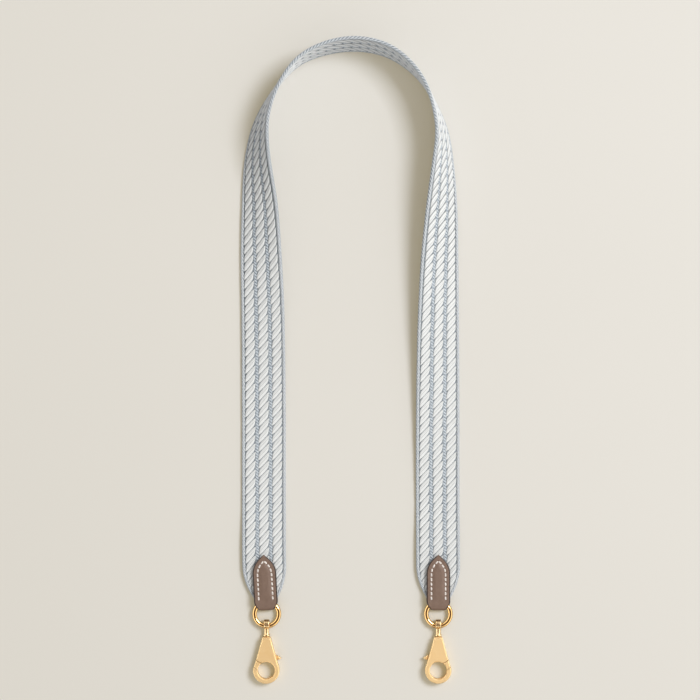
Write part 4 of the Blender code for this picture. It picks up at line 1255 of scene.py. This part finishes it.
def make_spring(name):
    """A bent leaf between the roof of the slot and the lever arm."""
    knots = [Vector(point) for point in scaled(SPRING_SHARES)]
    line = [first.lerp(second, step / 8.0) for first, second in zip(knots, knots[1:]) for step in range(8)]
    line.append(knots[-1])
    half = SPRING_WIDTH / 2.0
    loops = []
    for index, place in enumerate(line):
        run = (line[min(index + 1, len(line) - 1)] - line[max(index - 1, 0)]).normalized()
        side = Vector((-run.y, run.x)) * SPRING_THICKNESS / 2.0
        low, high = place - side, place + side
        loops.append([(low.x, low.y, -half), (high.x, high.y, -half), (high.x, high.y, half), (low.x, low.y, half)])
    return shade_by_angle(lofted(name, loops), 40.0)


# Assembly

def finish(item, place, body, node, finish_material=None):
    """Puts a piece in its place in its mesh, rides it on its body and lets it stand for its node."""
    item.data.transform(place)
    if place.determinant() < 0:
        item.data.flip_normals()
    item.data.update()
    if finish_material:
        dressed(item, finish_material)
    if body:
        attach(item, body)
    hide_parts(node)
    return item


def dressed(item, material):
    item.data.materials.clear()
    item.data.materials.append(material)


def make_clip(side, across, tab_tilt, hook_tilt, nub_side, finishes, tree, stitch):
    """Everything on one end of the strap."""
    centre = Vector((across * LEG_SPACING, -RING_DROP, MID_HEIGHT)) + Vector(FRAME_SHIFT)
    wire = Vector((0.0, RING_RADIUS, 0.0))
    flat = Matrix.Translation((0.0, 0.0, -MID_HEIGHT))
    tab_place, eye_place = (
        Matrix.Translation(centre) @ Matrix.Rotation(math.radians(tilt), 4, "Z") @ Matrix.Translation(offset)
        for tilt, offset in ((tab_tilt, wire), (hook_tilt, -wire))
    )
    hook_place = eye_place @ Matrix.Translation((0.0, -eye_height(), 0.0)) @ Matrix.Scale(nub_side, 4, (1.0, 0.0, 0.0))
    ring, eye, hook, gate = (body + side for body in ("ring_", "eye_", "hook_", "gate_"))

    leather = make_leather("leather_" + side, finishes)
    finish(leather, tab_place @ flat, None, "leather_tab_" + side)
    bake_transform(leather)
    filler = make_filler("filler_" + side, finishes)
    finish(filler, tab_place @ flat, "strap", "tab_filler_" + side)
    seam = make_seam("seam_" + side, tree, stitch, finishes)
    finish(seam, tab_place @ flat, "strap", "tab_thread_" + side)
    for make, name, place, body, slot, node, material in (
        (make_ring, "wire_ring_", tab_place, ring, "polished_metal", "ring_", "polished"),
        (make_swivel_eye, "eye_", eye_place, eye, "polished_metal", "swivel_eye_", "burnished"),
        (make_hook_body, "hook_", hook_place, hook, "satin_metal", "hook_body_", "satin"),
        (make_gate, "gate_", hook_place, gate, "satin_metal", "gate_lever_", "satin"),
        (make_spring, "leaf_spring_", hook_place, None, "spring_steel", "gate_spring_", "steel"),
    ):
        piece = finish(make(name + side), place, body, node + side, finishes[material])
    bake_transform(piece)
    dressed(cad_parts["gate_pin_" + side], finishes["steel"])


def make_stage():
    corners = [(x * FLOOR_REACH, y * FLOOR_REACH, 0.0) for x, y in ((-1, -1), (1, -1), (1, 1), (-1, 1))]
    floor = mesh_object("floor", corners, [(0, 1, 2, 3)])
    floor.data.materials.append(make_floor_paper())


def make_lamp(name, place, size, power, colour):
    data = bpy.data.lights.new(name, "AREA")
    data.shape = "RECTANGLE"
    data.size, data.size_y = size
    data.energy = power
    data.color = rgb(colour)[:3]
    lamp = bpy.data.objects.new(name, data)
    bpy.context.scene.collection.objects.link(lamp)
    lamp.location = place
    lamp.rotation_euler = (-Vector(place)).to_track_quat("-Z", "Y").to_euler()


def make_room():
    """White light from all round, a little more of it from the right and from beyond the hooks.

    In reflections the room has bright side walls, dark ends, a dark horizon and a dark patch overhead, which
    gives polished metal its brown bands.
    """
    world = bpy.data.worlds.new("pale_room")
    world.use_nodes = True
    tree = world.node_tree
    node = partial(add, tree)
    even = tree.nodes["Background"]
    even.inputs["Color"].default_value = rgb("#F5F4F2")
    direction = node("TexCoord", out="Generated")
    more = node("VectorMath", (direction, ROOM_LEAN), "Value", operation="DOT_PRODUCT")
    tree.links.new(node("Math", (more, ROOM_STRENGTH), operation="ADD"), even.inputs["Strength"])
    beyond, up = node("SeparateXYZ", (direction,)).node.outputs[1:]
    above = node("MapRange", (up, 0.12, 0.34, 0.25, 1.0), **SMOOTH)
    overhead = node("MapRange", (up, 0.52, 0.78, 1.0, 0.04), **SMOOTH)
    lengthwise = node("Math", (beyond,), operation="ABSOLUTE")
    ends = node("MapRange", (lengthwise, 0.74, 0.90, 1.0, 0.05), **SMOOTH)
    sides = node("Math", (above, ends), operation="MULTIPLY")
    level = node("Math", (sides, overhead), operation="MULTIPLY")
    tone = node("Mix", {0: level, 6: rgb("#3A2412"), 7: rgb("#FFFFFF")}, **COLOURS)
    mirrored = node("Background", {"Color": tone, "Strength": MIRRORED_STRENGTH})
    path = node("LightPath").node.outputs
    # Light that reaches the floor by way of the metal stays plain, or the metal would throw a glow on it.
    direct = node("Math", (1.0, path["Diffuse Depth"]), operation="SUBTRACT", use_clamp=True)
    seen = node("Math", (path["Is Glossy Ray"], direct), operation="MULTIPLY")
    mix = node("MixShader", (seen, even.outputs[0], mirrored))
    tree.links.new(mix, tree.nodes["World Output"].inputs["Surface"])
    bpy.context.scene.world = world


def make_camera():
    camera = bpy.data.cameras.new("camera")
    camera.sensor_width = 36.0
    camera.lens = camera.sensor_width * CAMERA_HEIGHT / PICTURE_WIDTH
    camera.clip_start = 0.01
    camera.clip_end = 20.0
    eye = bpy.data.objects.new("camera", camera)
    eye.location = (*PICTURE_MIDDLE, CAMERA_HEIGHT)
    bpy.context.scene.collection.objects.link(eye)
    bpy.context.scene.camera = eye
    bpy.context.scene.view_settings.view_transform = "Standard"


def main():
    make_camera()
    make_room()
    make_lamp("key_softbox", (1.25, 0.68, 1.94), (0.9, 0.9), 36.4, "#FFFFFF")
    make_stage()
    finishes = make_finishes()
    make_webbing(finishes)
    tree = scatter_tree()
    stitch = stitch_shape()
    for clip in CLIPS:
        make_clip(*clip, finishes, tree, stitch)
    bpy.data.objects.remove(stitch, do_unlink=True)


main()
